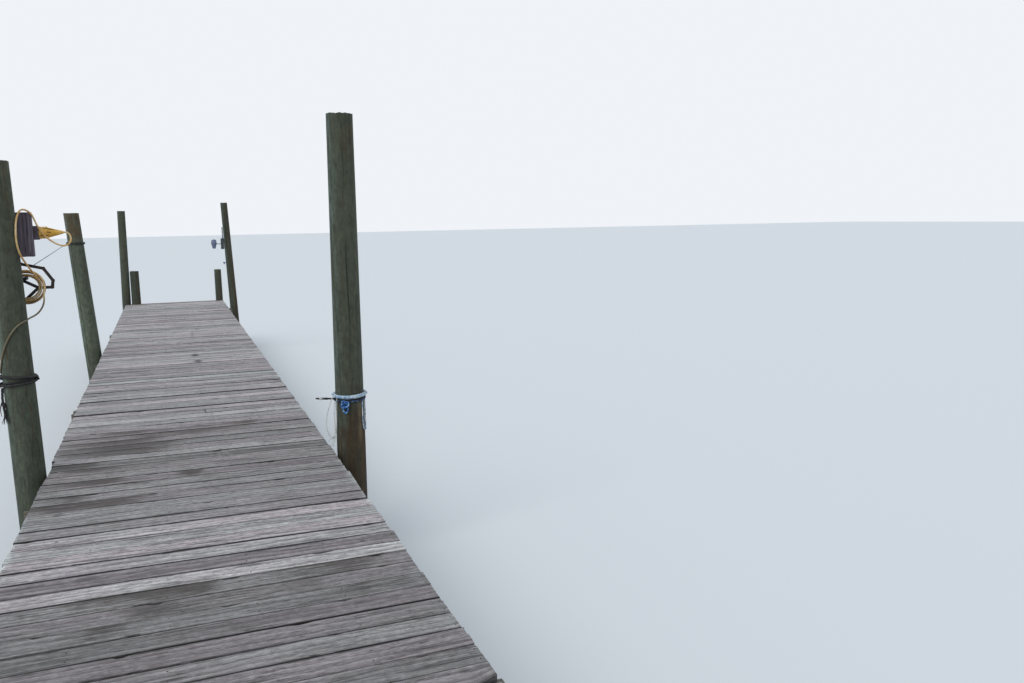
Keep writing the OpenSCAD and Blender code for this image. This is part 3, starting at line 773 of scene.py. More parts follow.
# The black rope on the near left pile: its tail, its thickness, and where its turns are over the deck
BLACK_TAIL = [
    (-99, -42, 587), (-101, -44, 556), (-103, -46, 524), (-102, -50, 492), (-99, -55, 460),
    (-95, -61, 430), (-92, -66, 404),
]
BLACK_D = 0.018
BLACK_TAIL_D = 0.016
BLACK_Z = 0.597
BLACK_RISE = 0.070
THIN_TURN_D = 0.011
# Knots on the black rope: angle in degrees, height as a share of the rise, and turn in degrees
BLACK_KNOTS = ((4, 0.52, -80), (190, 0.8, 100), (197, 0.15, 110))
# Where loose strands leave the tail's knot and the tail's middle, in millimetres from its line
FRAYED = ((-4, -2), (3, -3), (0, 3), (-6, 2), (5, 1), (8, -4), (-9, -1))
UNLAID = ((9, -7), (13, -5), (-9, -6))
# The knot at the tail's foot, as heights and radii
TAIL_KNOT = [
    (-0.014, 0.004), (-0.012, 0.0085), (-0.006, 0.0105), (0.004, 0.011), (0.011, 0.0095), (0.014, 0.004),
]


def knot(stock, middle, size, thick, tilt):
    """A tight knot of rope: a three-leaved closed line, winding twice round while it bobs in and
    out three times, and flattened towards the pile. Its tilt is a turn about the upright, then a nod."""
    t = np.linspace(0, TAU, 120, endpoint=False)
    swing = size * (1 + 0.45 * np.cos(3 * t))
    line = np.stack([swing * np.cos(2 * t), 0.55 * size * np.sin(3 * t), swing * np.sin(2 * t)], -1)
    turn, nod = tilt
    c, s = math.cos(nod), math.sin(nod)
    dip = np.array([[1, 0, 0], [0, c, s], [0, -s, c]])
    add_cord(stock, line @ dip @ turned_by(turn) + middle, thick, 12, 3, loop=True)


def strand_end(stock, start, points, thick):
    """A loose strand through points given in millimetres from its start, which thins out evenly to
    about a third at its tip."""
    line = curve_through(from_pile([(0, 0, 0)] + points, start), 0.004)
    add_cord(stock, line, thick, 8, taper=np.linspace(1, 0.35, len(line)))


def tie_black_rope():
    """Two turns of laid rope round the pile, whose gap narrows as a cosine towards the right, a
    thinner turn between them, knots at both sides, and a tail with its frayed end at the left."""
    name = "pile_near_left"
    stock = Stock()
    angle = np.linspace(-200, 520, 150)
    meet = 0.5 + 0.5 * np.cos(np.radians(angle - 8))
    upper = unit((angle - 100) / 120)
    upper = upper * upper * (3 - 2 * upper)
    z = BLACK_Z + 0.004 + (BLACK_RISE - 0.008) * upper + (0.5 - upper) * 0.036 * meet
    line = round_pile(name, NEAR_LEFT, np.stack([angle, z / MM], -1), BLACK_D / 2 + FIT)
    add_cord(stock, line, BLACK_D, 20, 3)
    angle = np.linspace(-170, 2, 60)
    z = BLACK_Z + 0.006 + (BLACK_RISE - 0.03) * unit((angle + 170) / 172) ** 0.7
    line = round_pile(name, NEAR_LEFT, np.stack([angle, z / MM], -1), 0.006)
    add_cord(stock, line, THIN_TURN_D, strands=3)
    for angle, up, turn in BLACK_KNOTS:
        at = round_pile(name, NEAR_LEFT, [(angle, (BLACK_Z + up * BLACK_RISE) / MM)], 0.013)[0]
        knot(stock, at, 0.0105, THIN_TURN_D, (math.radians(turn), 0.3))
    rope_piece(stock, "black_rope_turns", BLACK_ROPE, "black_rope", "black_rope")
    line = curve_through(from_pile(BLACK_TAIL, NEAR_LEFT), 0.005)
    frayed = frayed_end(line)
    tail = cord_piece("black_tail", line, BLACK_TAIL_D, BLACK_ROPE, "black_rope", ("black_rope_tail",),
                      sides=18, strands=3)


def frayed_end(line):
    """The small knot at the tail's foot, loose strands under it, and longer ones from its middle."""
    end = Stock()
    end.add(turned(TAIL_KNOT, line[-1] + (0, 0, 0.004), sides=16))
    for x, y in FRAYED:
        start = from_pile((x, y, -4), line[-1])
        strand_end(end, start, [(0.6 * x, y, -14), (1.3 * x, 1.5 * y, -30), (1.6 * x, 1.6 * y, -44)], 0.0055)
    for x, y in UNLAID:
        start = from_pile((0.6 * x, y, 0), line[len(line) // 2])
        strand_end(end, start, [(x, 0, -30), (1.2 * x, -1, -60), (1.1 * x + 3, -2, -88)], 0.009)
    return piece(end, "black_rope_end", BLACK_ROPE, "black_rope")


# The ropes on the near right pile: thickness and height of the turns, then the loop and the white line
BLUE_D = 0.014
BLUE_Z = 0.368
LOW_TURN_Z = BLUE_Z - 0.025
BLUE_LOOP = [
    (-8, 335), (-8, 290), (-8, 240), (-8, 190), (-10, 148), (-15, 118), (-23, 104), (-31, 104),
    (-39, 118), (-44, 148), (-46, 190), (-46, 240), (-46, 290), (-46, 335),
]
BLUE_LOOP_D = 0.009
WHITE_ROUTE = [
    (-121, -30, 369.5), (-133, -32, 342), (-147, -36, 310), (-162, -40, 268), (-174, -44, 222),
    (-180, -48, 176), (-178, -52, 134), (-168, -56, 100), (-154, -60, 80), (-139, -62, 74),
    (-126, -64, 86), (-117, -66, 118), (-113, -67, 160), (-110, -67, 212), (-107, -66, 266),
    (-104, -65, 316), (-101, -64, 369),
]
WHITE_D = 0.006
# The bright knot: how far under the turns it sits, and the small loop that hangs from it
KNOT_DROP = 0.0546
KNOT_LOOP = [(-114, 306), (-109, 288), (-110, 264), (-117, 250), (-124, 264), (-126, 288), (-121, 306)]
# The white line's knot, and its loose strands, each as its thickness and its points from the knot
WHITE_KNOT = (-134, -63, 74)
WHITE_ENDS = [
    (0.010, [(-16, -2, -5), (-32, -4, -14), (-44, -5, -26)]),
    (0.012, [(2, -1, -18), (-4, -2, -38), (-12, -2, -52), (-4, -3, -64)]),
    (0.011, [(8, 1, 30), (12, 1, 90), (9, 0, 170), (14, -1, 262)]),
    (0.009, [(6, 3, 10), (16, 3, 40), (18, 2, 70)]),
]
# The thin end that sticks out of the low turn
TOGGLE_L = 0.136
TOGGLE_D = 0.0165
TOGGLE_TURN = math.radians(186)
TOGGLE_RISE = math.radians(7)
BEAD = [(-0.013, 0.0065), (-0.01, 0.0095), (0.0, 0.0112), (0.01, 0.0095), (0.013, 0.0065)]
BEAD_AT = 0.1


def slack_turn(stock, z, off, seed):
    """One slack turn round the near right pile: a ring that dips as a cosine in front, and whose
    height and distance off the pile wander with smooth noise."""
    name = "pile_near_right"
    angle = np.radians(np.linspace(0, 360, 120, endpoint=False))
    dip = 0.5 + 0.5 * np.cos(angle + math.radians(118))
    z = z + 0.002 * waves_round(angle, angle * 0, seed, 3) - 0.012 * dip
    out = pile_radius(name, z) + FIT + off + 0.0004 * (1 + waves_round(angle, angle * 0, seed + 9, 4))
    add_cord(stock, ring_points(name, NEAR_RIGHT, angle, z, out), BLUE_D, 16, 3, loop=True)


def tie_blue_rope():
    """Slack turns round the near right pile in white, pale blue and navy, a bright knot in front, a
    loop down the right side, a white line down the left, and a thin whipped end."""
    name = "pile_near_right"
    turns, pale, low = Stock(), Stock(), Stock()
    for stock, layer, z, seed in ((turns, 0, BLUE_Z, 1), (pale, 0, BLUE_Z + 0.9 * BLUE_D, 2),
                                  (turns, 0.85, BLUE_Z + 0.45 * BLUE_D, 3), (low, 0, LOW_TURN_Z, 4)):
        slack_turn(stock, z, (layer + 0.5) * BLUE_D, seed)
    rope_piece(turns, "blue_rope_turns", BLUE_ROPE, "blue_rope", "blue_rope")
    rope_piece(pale, "pale_rope_turn", PALE_ROPE, "white_cord")
    rope_piece(low, "navy_rope_turn", NAVY_ROPE, "blue_rope")
    front = Stock()
    at = round_pile(name, NEAR_RIGHT, [(-118, (BLUE_Z - KNOT_DROP) / MM)], 0.021)[0]
    knot(front, at, 0.019, 0.0135, (math.radians(-28), 0.1))
    add_cord(front, curve_through(round_pile(name, NEAR_RIGHT, KNOT_LOOP, 0.012), 0.004), 0.0125, strands=3)
    rope_piece(front, "bright_knot", BRIGHT_ROPE, "blue_rope")
    line = curve_through(round_pile(name, NEAR_RIGHT, BLUE_LOOP, BLUE_LOOP_D / 2 + 2 * FIT), 0.003)
    loop = cord_piece("blue_loop", line, BLUE_LOOP_D, BLUE_ROPE, "blue_rope", ("blue_rope_loop",), strands=3)
    hang_white_line()
    whipped_end(name)


def hang_white_line():
    """The white line at the pile's left, and the small knot at its foot with its loose strands."""
    line = curve_through(from_pile(WHITE_ROUTE, NEAR_RIGHT), 0.003)
    white = cord_piece("white_hanging_line", line, WHITE_D, WHITE_ROPE, "white_cord", ("white_line",),
                       sides=10, strands=3)
    foot = from_pile(WHITE_KNOT, NEAR_RIGHT)
    tied = Stock()
    knot(tied, foot, 0.008, 0.007, (0.2, 0.4))
    for thick, points in WHITE_ENDS:
        strand_end(tied, foot, points, thick)
    tied = rope_piece(tied, "white_line_knot", WHITE_ROPE, "white_cord")


def whipped_end(name):
    """The thin dark end that sticks out of the low turn, straight, with its thickness read off a few
    shares along it, and a white bead near its tip."""
    out = pile_radius(name, LOW_TURN_Z) + 0.7 * BLUE_D
    level = np.array([math.cos(TOGGLE_TURN), math.sin(TOGGLE_TURN), 0])
    start = NEAR_RIGHT + out * level + (0, 0, LOW_TURN_Z)
    way = level * math.cos(TOGGLE_RISE) + (0, 0, math.sin(TOGGLE_RISE))
    along = np.linspace(0, TOGGLE_L, 50)
    size = np.interp(along, [0, 0.03, 0.05, 0.09, 0.115, TOGGLE_L], [0.8, 0.75, 1.0, 1.0, 0.95, 0.5])
    stick = Stock()
    add_cord(stick, start + along[:, None] * way, TOGGLE_D, strands=2, taper=size)
    rope_piece(stick, "thin_rope_end", BLACK_ROPE, "black_rope")
    bead = Stock()
    bead.add(turned(BEAD, start + BEAD_AT * way, "x", 16))
    piece(bead, "thin_end_bead", WHITE_ROPE, "white_cord")


MID_ROPE_D = 0.018


def tie_mid_rope():
    """Two dark turns round the middle left pile, which rise evenly with a slow wander. The strung
    line leaves them."""
    name = "pile_mid_left"
    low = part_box("mid_rope")[0].z - DECK_TOP
    angle = np.linspace(-100, 560, 120)
    rise = np.linspace(0, 1, 120)
    z = low + 0.013 + 0.016 * rise + 0.002 * waves(angle / 360, 8, 0.5, 2)
    line = round_pile(name, pile_axis(name), np.stack([angle, z / MM], -1), MID_ROPE_D / 2 + FIT)
    stock = Stock()
    add_cord(stock, line, MID_ROPE_D, 16, 3)
    rope_piece(stock, "mid_rope_turns", BLACK_ROPE, "black_rope", "mid_rope")


# Timber

SECTION_INSET = 0.003


def section(width, thick, rounding, across):
    """A rounded rectangle, right-handed from its +width side: four arcs of three points, with
    points across its top and half as many across its foot, and one a little way in from each arc."""
    arc = np.radians([0, 45, 90])
    inset = SECTION_INSET / (width - 2 * rounding)
    corners = [(1, 1), (-1, 1), (-1, -1), (1, -1)]
    points = []
    for k, (sx, sy) in enumerate(corners):
        middle = np.array([sx * (width / 2 - rounding), sy * (thick / 2 - rounding)])
        bend = arc + k * TAU / 4
        points.append(middle + rounding * np.stack([np.cos(bend), np.sin(bend)], -1))
        count = {0: across, 2: across // 2}.get(k)
        if count:
            share = np.concatenate([[inset], (np.arange(count) + 1) / (count + 1), [1 - inset]])
            x = sx * (width / 2 - rounding) * (1 - 2 * share)
            points.append(np.stack([x, np.full(len(x), sy * thick / 2)], -1))
    return np.concatenate(points)


# How deep edges are chipped, how high the ridges of the top stand, and how far a plank's top wanders
CHIP = 0.01
RIDGE = 0.0004
WANDER = 0.0012
# How far the grain of each piece is moved, so that no two show the same wood
GRAIN_SHIFT = 20


def plank(length, width, thick, seed, rounding=0.002, across=8, steps=56, wear=1.0, bow=0.0, cup=0.0,
          cut=0.0, rough_ends=0.0):
    """Rings of a weathered plank along x, and its grain values. Its section is carried along it; long
    edges are chipped where slow noise runs high, the top is ridged along the grain and cupped, the
    plank bows sideways as a parabola, and its ends are cut askew, eaten back by noise and eased."""
    rng = np.random.default_rng(seed)
    flat = section(width, thick, rounding, across)
    x = np.linspace(-0.5, 0.5, steps) * length
    x = np.concatenate([[x[0], x[0]], x, [x[-1], x[-1]]])
    ease = np.ones(len(x))
    ease[[0, -1]] = 0.5
    ease[[1, -2]] = 1 - 2 * rounding / thick
    x[2] += rounding
    x[-3] -= rounding
    half = width / 2
    y = flat[:, 0] / half * (half - (1 - ease[:, None]) * thick / 2)
    z = flat[:, 1] * ease[:, None]
    top = flat[:, 1] > 0.4 * thick
    near_edge = unit(np.abs(flat[:, 0]) / half * 4 - 3) * top
    for side in (-1, 1):
        chip = unit(waves(x, seed + 17 * side + 40, 1.2, 14) - 0.85) * CHIP * wear
        here = near_edge * (flat[:, 0] * side > 0)
        y -= side * chip[:, None] * here
        z -= 0.6 * chip[:, None] * here
    ridge = waves(flat[:, 0][None] + 0.004 * waves(x, seed + 3, 0.3, 1.5)[:, None], seed + 5, 20, 110)
    z += RIDGE * wear * ridge * top
    z += cup * ((2 * flat[:, 0] / width) ** 2 - 0.4)
    z += (WANDER * waves(x, seed + 7, 0.3, 1.2))[:, None]
    y += (bow * (1 - (2 * x / length) ** 2))[:, None]
    near_end = np.abs(2 * x / length) ** 24
    slant = np.where(x < 0, rng.normal(0, 1), rng.normal(0, 1)) * cut
    x2 = x[:, None] + (near_end * slant)[:, None] * y
    eaten = np.abs(waves(flat[:, 0] + 3.0, seed + 11, 9, 50))
    x2 = x2 - np.sign(x)[:, None] * near_end[:, None] * rough_ends * eaten[None]
    rings = np.stack([x2, y, z], -1)
    return rings, rings + rng.uniform(-GRAIN_SHIFT, GRAIN_SHIFT, 3)


# Rows that carry a plank's length, width and thickness to their directions
ALONG_Y_ON_EDGE = np.array([[0, 1, 0], [0, 0, 1], [1, 0, 0]], float)
ALONG_X_ON_EDGE = np.array([[1, 0, 0], [0, 0, 1], [0, -1, 0]], float)
ALONG_Z = np.array([[0, 0, 1], [1, 0, 0], [0, 1, 0]], float)


def turned_by(angle):
    """Rows that carry x, y and z to their places after a turn about the upright."""
    c, s = math.cos(angle), math.sin(angle)
    return np.array([[c, s, 0], [-s, c, 0], [0, 0, 1]])


def ahead_of(rings):
    """Metres ahead of the camera, as places on the deck are told, with metres right of the middle."""
    return rings[..., 1] - EYE[1]


# Rows are counted from the near end, from nought. Tones of rows from the first toned one on, then of single
# far rows, then the tone about which each other far row's own is drawn, by row. The way they grow from the
# near rows to the far ones is painted sheen, the pale sky seen at grazing angles, on top of each row's own
# tone.
FIRST_TONED = 18
ROW_TONES = [
    0.60, 0.68, 0.75, 0.75, 0.69, 0.62, 0.67, 0.69, 0.78, 1.52, 0.78, 1.22, 1.34, 1.30, 1.26, 0.88, 0.91,
    0.88, 0.84, 0.98, 1.02, 0.90, 0.92, 0.84, 0.96, 1.20, 0.92, 0.80, 0.92, 0.84, 0.90, 1.00, 1.00,
]
FAR_TONES = {68: 0.9, 69: 0.9, 74: 1.22, 75: 1.22, 94: 0.93, 95: 0.93, 102: 0.83, 103: 0.83, 109: 0.95}
FAR_STRETCHES = ([52, 60, 70, 84, 92, 100, 107], [1.06, 1.08, 1.16, 1.22, 1.4, 1.42, 1.2])
NEAR_TONE = 0.85
# What a row lacks at its near edge, which leaves a wide dark joint there
WIDE_JOINTS = {
    21: 0.002, 23: 0.004, 27: 0.004, 29: 0.004, 30: 0.004, 32: 0.005, 33: 0.004, 34: 0.004, 37: 0.004,
    40: 0.004, 43: 0.006, 46: 0.008, 48: 0.007, 52: 0.006, 54: 0.022, 58: 0.022, 71: 0.006, 79: 0.005,
}
WIDE_DIRT = 1.15
# What is added to the chance dirt of the other joints, by row
MORE_DIRT = ([34, 38, 48, 50, 62], [0, 0.35, 0.35, 0.3, 0.6])
# Rows of two boards: where they meet, and their turns from the row's own in degrees. The wide joint
# before such a row is before its right board only
BUTT_JOINTS = {52: (0.13, 0.1, 0.25)}
BUTT_GAP = 0.003
# What the boards of some rows lack at their left ends, and rows whose left or right ends are pale
SHORT_LEFT = {40: 0.012, 41: 0.014, 42: 0.014, 43: 0.012}
PALE_LEFT = range(30, 36)
PALE_RIGHT = range(32, 39)
# Turn of the rows about the upright: metres ahead of the camera, degrees, less than zero where the
# right end is nearer
ROW_TURNS = [
    (2.6, 0.0), (3.4, -0.4), (3.9, -0.6), (4.3, -1.3), (5.4, -1.4), (6.2, -2.2), (7.0, -1.8), (7.9, -1.9),
    (9.0, -1.0), (11.0, -0.5), (18.4, 0.0),
]
# Brown stains by row: from and to in metres right of the middle, and strength
STAINS = {
    22: [(-0.48, -0.1, 0.35)],
    24: [(-0.62, -0.28, 0.55), (0.45, 0.7, 0.5)],
    25: [(-0.42, -0.12, 0.85), (0.15, 0.5, 0.35)],
    26: [(-0.75, 0.02, 0.8), (-0.25, 0.03, 1.15), (0.1, 0.85, 0.75)],
    36: [(-1.0, -0.35, 1.6)],
    37: [(-0.9, -0.6, 0.7)],
    39: [(-0.9, -0.4, 1.0), (-0.15, 0.04, 1.2)],
    41: [(-1.0, -0.45, 0.9)],
    42: [(-1.0, -0.6, 1.1)],
    44: [(-1.0, -0.15, 1.2)],
    45: [(-1.0, -0.15, 1.5)],
    46: [(-1.0, -0.2, 1.2)],
    47: [(-1.0, 0.55, 0.9)],
    48: [(-0.8, -0.25, 0.8), (0.15, 0.55, 0.8)],
}
# Dark knots, holes and worn spots: metres right, metres ahead, half lengths across and along, strength
SPOTS = [
    (-0.52, 4.18, 0.055, 0.028, 0.5), (0.18, 6.28, 0.02, 0.024, 0.7), (0.49, 5.82, 0.034, 0.01, 0.6),
    (-0.39, 4.49, 0.02, 0.018, 0.5), (-0.17, 4.49, 0.02, 0.018, 0.5), (-0.03, 4.28, 0.03, 0.012, 0.5),
    (-0.75, 5.2, 0.03, 0.022, 0.6), (0.166, 10.48, 0.042, 0.12, 0.95), (0.151, 10.97, 0.042, 0.12, 0.95),
    (0.25, 13.68, 0.035, 0.05, 0.8), (0.6, 12.25, 0.13, 0.025, 0.45), (0.17, 13.0, 0.02, 0.3, 0.4),
    (-0.2, 3.86, 0.16, 0.012, 0.45), (-0.27, 3.70, 0.08, 0.014, 0.4), (0.6, 3.555, 0.07, 0.012, 0.4),
]
# Rows a little brown all over, the first that may be grey green, and those with more points along them
WARM_ROWS = range(38, 49)
BLOOMED_FROM = 46
FINE_ROWS = range(18, 60)
FINE_STEPS = 100
PLAIN_STEPS = 60
# Spread of the boards' ends about a straight edge, and how far their tops lie under the solid's
BOARD_SPREAD = 0.0025
BOARD_DROP = 0.002
# The row whose right end is worn away, and how far along and across
WORN_ROW = 18
WORN_L = 0.093
WORN_W = 0.045
# Nails: distance of each from its board's middle, radius, and how far its place is under the top
NAIL_OFF = 0.038
NAIL_R = 0.0032
NAIL_SUNK = 0.0012


def chance_tone(rng, spread, low, high):
    """A factor drawn about one, and held between so many spreads under and over it."""
    return 1 + spread * np.clip(rng.normal(), low, high)


def row_tone(row, rng):
    """The listed tone of a row, or the tone of its stretch, in most rows times a factor drawn about
    one."""
    near = row - FIRST_TONED
    if 0 <= near < len(ROW_TONES):
        return ROW_TONES[near] * chance_tone(rng, 0.05, -1.5, 1.5)
    if row in FAR_TONES:
        return FAR_TONES[row]
    if near < 0:
        return NEAR_TONE * chance_tone(rng, 0.1, -1.6, 1.6)
    return np.interp(row, *FAR_STRETCHES) * chance_tone(rng, 0.18, -1.6, 1.4)


def boards_of(row):
    """A row's boards: left and right end, what its near edge lacks, and its own turn in degrees."""
    left = -BOARD_L / 2 + SHORT_LEFT.get(row, 0)
    right = BOARD_L / 2
    lack = WIDE_JOINTS.get(row, 0.0)
    if row not in BUTT_JOINTS:
        return [(left, right, lack, 0.0)]
    meet, first, second = BUTT_JOINTS[row]
    return [(left, meet - BUTT_GAP / 2, 0.0, first), (meet + BUTT_GAP / 2, right, lack, second)]


def joint_dirt(row):
    """How dark the joint before a row is: full at a wide joint, drawn by chance at the others, and
    darker far off, where more of the joints have opened."""
    if row in WIDE_JOINTS:
        return WIDE_DIRT
    return np.random.default_rng(DIRT_SEED + row).uniform(0.3, 0.75) + np.interp(row, *MORE_DIRT)


def board_dirt(rings, near, far, width):
    """Dirt of a board before it is turned: full down its sides, and on top it falls from a joint's own
    strength to none over 2 to 6 mm."""
    y = rings[..., 1]
    top = rings[..., 2].max(1, keepdims=True)
    side = unit((top - rings[..., 2]) / 0.0035 - 0.4)
    near_lip, far_lip = (strength * unit(1 - (width / 2 + way * y) / (0.002 + 0.004 * strength))
                         for way, strength in ((1, near), (-1, far)))
    return np.maximum(side, np.maximum(near_lip, far_lip))


def spots_at(x, ahead):
    """How dark the spots make a place: each is a bell of the fourth power of the distance from it in
    half lengths, so it is flat within them and has a quick edge."""
    total = np.zeros_like(x)
    for right, spot, wide, long, strength in SPOTS:
        away = ((x - right) / wide) ** 2 + ((ahead - spot) / long) ** 2
        total = np.maximum(total, strength * np.exp(-away ** 2))
    return total


def stain_of(row, x):
    """A row's stain along x: each run is fullest at two thirds of its length and thins out both ways."""
    total = np.zeros_like(x)
    for start, stop, strength in STAINS.get(row, []):
        share = (x - start) / (stop - start)
        rise = unit(np.minimum((share + 0.15) / 0.8, (1.2 - share) / 0.5))
        total = np.maximum(total, strength * rise)
    return total


def wear_corner(rings, length):
    """Narrows a board towards the near corner of its right end, where it is worn away. What it lacks
    grows evenly to the end."""
    share = unit((rings[..., 0] - length / 2 + WORN_L) / WORN_L)
    rings[..., 1] = BOARD_W / 2 - (BOARD_W / 2 - rings[..., 1]) * (1 - share * WORN_W / BOARD_W)


def lay_row(stock, nails, row):
    """One row of the deck, of one board or two, with its nails. A board is a plank turned about the
    upright and put in its place; its tone is the row's, less dirt, spots and stain."""
    rng = np.random.default_rng(ROW_SEED + row)
    middle = FIRST_BOARD + BOARD_W / 2 + row * BOARD_PITCH
    calm = min(1.0, row / 6, (BAYS * BOARDS_PER_BAY - 1 - row) / 6)
    turn = np.interp(middle - EYE[1], *zip(*ROW_TURNS))
    turn = math.radians(turn + rng.normal(0, 0.03) * calm)
    tone = row_tone(row, rng)
    drop = rng.normal(0, 0.001) - BOARD_DROP
    bare = 0.2 * (rng.random() < 0.15) + 0.22 * (row in WARM_ROWS)
    bloomed = 0.4 * (rng.random() < 0.2) * (row >= BLOOMED_FROM)
    for start, stop, lack, own in boards_of(row):
        start = start + rng.normal(0, BOARD_SPREAD) * (start < -0.8)
        stop = stop + rng.normal(0, BOARD_SPREAD) * (stop > 0.8)
        narrow = 0.0008 * abs(rng.normal())
        width = BOARD_W - lack - narrow - 0.009 * (row > 60) * (rng.random() < 0.2)
        rings, grain = plank(stop - start, width, BOARD_T, BOARD_SEED + row, rounding=0.0022,
                             bow=rng.normal(0, 0.0008) * calm, cup=abs(rng.normal(0, 0.0012)), cut=0.004,
                             rough_ends=0.0015 if rng.random() < 0.8 else 0.006, wear=rng.uniform(0.5, 1.5),
                             steps=FINE_STEPS if row in FINE_ROWS else PLAIN_STEPS)
        near_dirt = joint_dirt(row) if lack or row not in WIDE_JOINTS else 0.3
        dirt = board_dirt(rings, near_dirt, joint_dirt(row + 1), width)
        far_side = 0.5 + 0.7 * unit(rings[..., 1] / width + 0.5)
        if row == WORN_ROW:
            wear_corner(rings, stop - start)
        half = (start + stop) / 2
        place = np.array([half, middle + (BOARD_W - width) / 2 + half * math.sin(turn),
                          DECK_TOP - BOARD_T / 2 + drop])
        rings = rings @ turned_by(turn + math.radians(own) * calm) + place
        x = rings[..., 0]
        warm = np.maximum(stain_of(row, x) * far_side, bare)
        edge = 0.2 * unit(np.abs(x) / (BOARD_L / 2) * 12 - 11)
        worn = (x < 0) * (row in PALE_LEFT) + (x > 0) * (row in PALE_RIGHT)
        worn = worn * unit((np.abs(x) - BOARD_L / 2 + 0.02) / 0.009)
        light = (1 - spots_at(x, ahead_of(rings))) * (1 - 0.22 * unit(warm)) * (1 + 0.15 * worn)
        stock.add(rings, grain, tone=tone * (1 - np.clip(0.85 * dirt, 0, 0.93)) * light, stain=warm,
                  bloom=unit(edge + bloomed + worn))
        nail_board(nails, rng, place, turn, start, stop)


def nail_board(nails, rng, place, turn, start, stop):
    """Two nails over each line of stringers and rims that a board crosses."""
    reach = (BOARD_L - STRINGER_T) / 2
    for line in np.linspace(-reach, reach, 6):
        if start + 0.012 < line < stop - 0.012:
            along = line - place[0]
            for y in (-NAIL_OFF, NAIL_OFF):
                spot = place + (along + rng.normal(0, 0.004), y + along * math.sin(turn),
                                BOARD_T / 2 - NAIL_SUNK)
                head = [(-0.002, NAIL_R), (0.001, NAIL_R), (0.0018, 0.6 * NAIL_R)]
                nails.add(turned(head, spot, sides=8))


def lay_deck():
    """Boards across the stringers, one bay to a piece. Each board has its own length, turn, tone and
    wear, and the turn changes slowly from row to row."""
    nails = Stock()
    for bay in range(BAYS):
        stock = Stock()
        for i in range(BOARDS_PER_BAY):
            lay_row(stock, nails, bay * BOARDS_PER_BAY + i)
        piece(stock, "boards_bay_%d" % (bay + 1), DECK_WOOD, "deck_boards", "deck_boards_%d" % (bay + 1))
    piece(nails, "deck_nails", NAIL_METAL, "deck_boards")


def beam(stock, low, high, lay, seed, tone=1.0, stain=0.0, bloom=0.0, shade=None, turn=0.0, **shape):
    """A plank that fills a box: its length, width and thickness are the box's sides in the order that
    the lay gives them. A turn swings it about the upright through its middle. The shade, and a stain
    or bloom that isn't a number, are worked out from the places of its points."""
    low, high = np.array(low, float), np.array(high, float)
    length, width, thick = (lay != 0).astype(float) @ (high - low)
    rings, grain = plank(length, width - 2 * FIT, thick - 2 * FIT, seed, **shape)
    rings = rings @ lay
    if turn:
        rings = rings @ turned_by(turn)
    rings = rings + (low + high) / 2
    if not turn:
        rings = np.clip(rings, low + FIT, high - FIT)
    if shade is not None:
        tone = tone * shade(rings)
    stain = stain(rings) if callable(stain) else stain
    bloom = bloom(rings) if callable(bloom) else bloom
    stock.add(rings, grain, tone=tone, stain=stain, bloom=bloom)


# Where short boards leave the top of the left rim bare, in metres ahead, and where the right rim is
# brown under the worn corner
BARE_FROM = 4.35
BARE_TO = 5.35
BROWN_AT = 2.66
BROWN_OVER = 0.2


def darker_towards_foot(rings):
    """Darker towards the foot: 0.6 at the flat, 0.8 where the caps begin and 1 from their top up."""
    return np.interp(rings[..., 2], [0.0, CAP_FOOT, CAP_TOP], [0.6, 0.8, 1.0])


def bare_top(rings):
    """1 on the top of a rim where short boards leave it bare, and 0 elsewhere."""
    ahead = ahead_of(rings)
    on_top = rings[..., 2] > DECK_TOP - BOARD_T - 0.01
    return unit(np.minimum(ahead - BARE_FROM, BARE_TO - ahead) * 8) * on_top


def rim_shade(rings):
    """Darker towards the foot, and lighter where the top is bare."""
    return darker_towards_foot(rings) * (1 + 0.4 * bare_top(rings))


def rim_stain(rings):
    """Brown under the worn corner, a little elsewhere."""
    near = unit(1 - np.abs(ahead_of(rings) - BROWN_AT) / BROWN_OVER)
    return 0.2 + 1.2 * near * (rings[..., 0] > 0)


def joints_of(low, high, stops, gap):
    """From and to of the stretches between the ends and the joints, which are that wide."""
    ends = [low] + [v for s in stops for v in (s - gap / 2, s + gap / 2)] + [high]
    return list(zip(ends[0::2], ends[1::2]))


SPLICE_GAP = 0.003
RIM_SPLICES = (2, 4, 6)
STRINGER_SPLICES = (3, 5)


def lay_stringers():
    """Rims and inner stringers, each of stock lengths that meet over bents."""
    for k, name in enumerate(["rim_left", "rim_right"] + ["stringer_%d" % n for n in range(1, 5)]):
        low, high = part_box(name)
        rim = k < 2
        stops = [BENTS[b] for b in (RIM_SPLICES if rim else STRINGER_SPLICES)]
        looks = dict(tone=1.05, stain=rim_stain, bloom=bare_top, shade=rim_shade)
        if not rim:
            looks = dict(tone=0.8, stain=0.2, shade=darker_towards_foot)
        stock = Stock()
        for j, (start, stop) in enumerate(joints_of(low.y, high.y, stops, SPLICE_GAP)):
            beam(stock, (low.x, start, low.z), (high.x, stop, high.z), ALONG_Y_ON_EDGE,
                 STRINGER_SEED + 10 * k + j, steps=120, across=10, wear=0.8, **looks)
        piece(stock, name + "_timber", FRAME_WOOD, "frame_timber", name)


def lay_fascias():
    """The boards across both ends of the stringers."""
    for name in ("fascia_near", "fascia_far"):
        stock = Stock()
        beam(stock, *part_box(name), ALONG_X_ON_EDGE, FASCIA_SEED + len(name), stain=0.3, steps=90,
             across=10, rough_ends=0.004)
        piece(stock, name + "_board", FASCIA_WOOD, "fascia_timber", name)


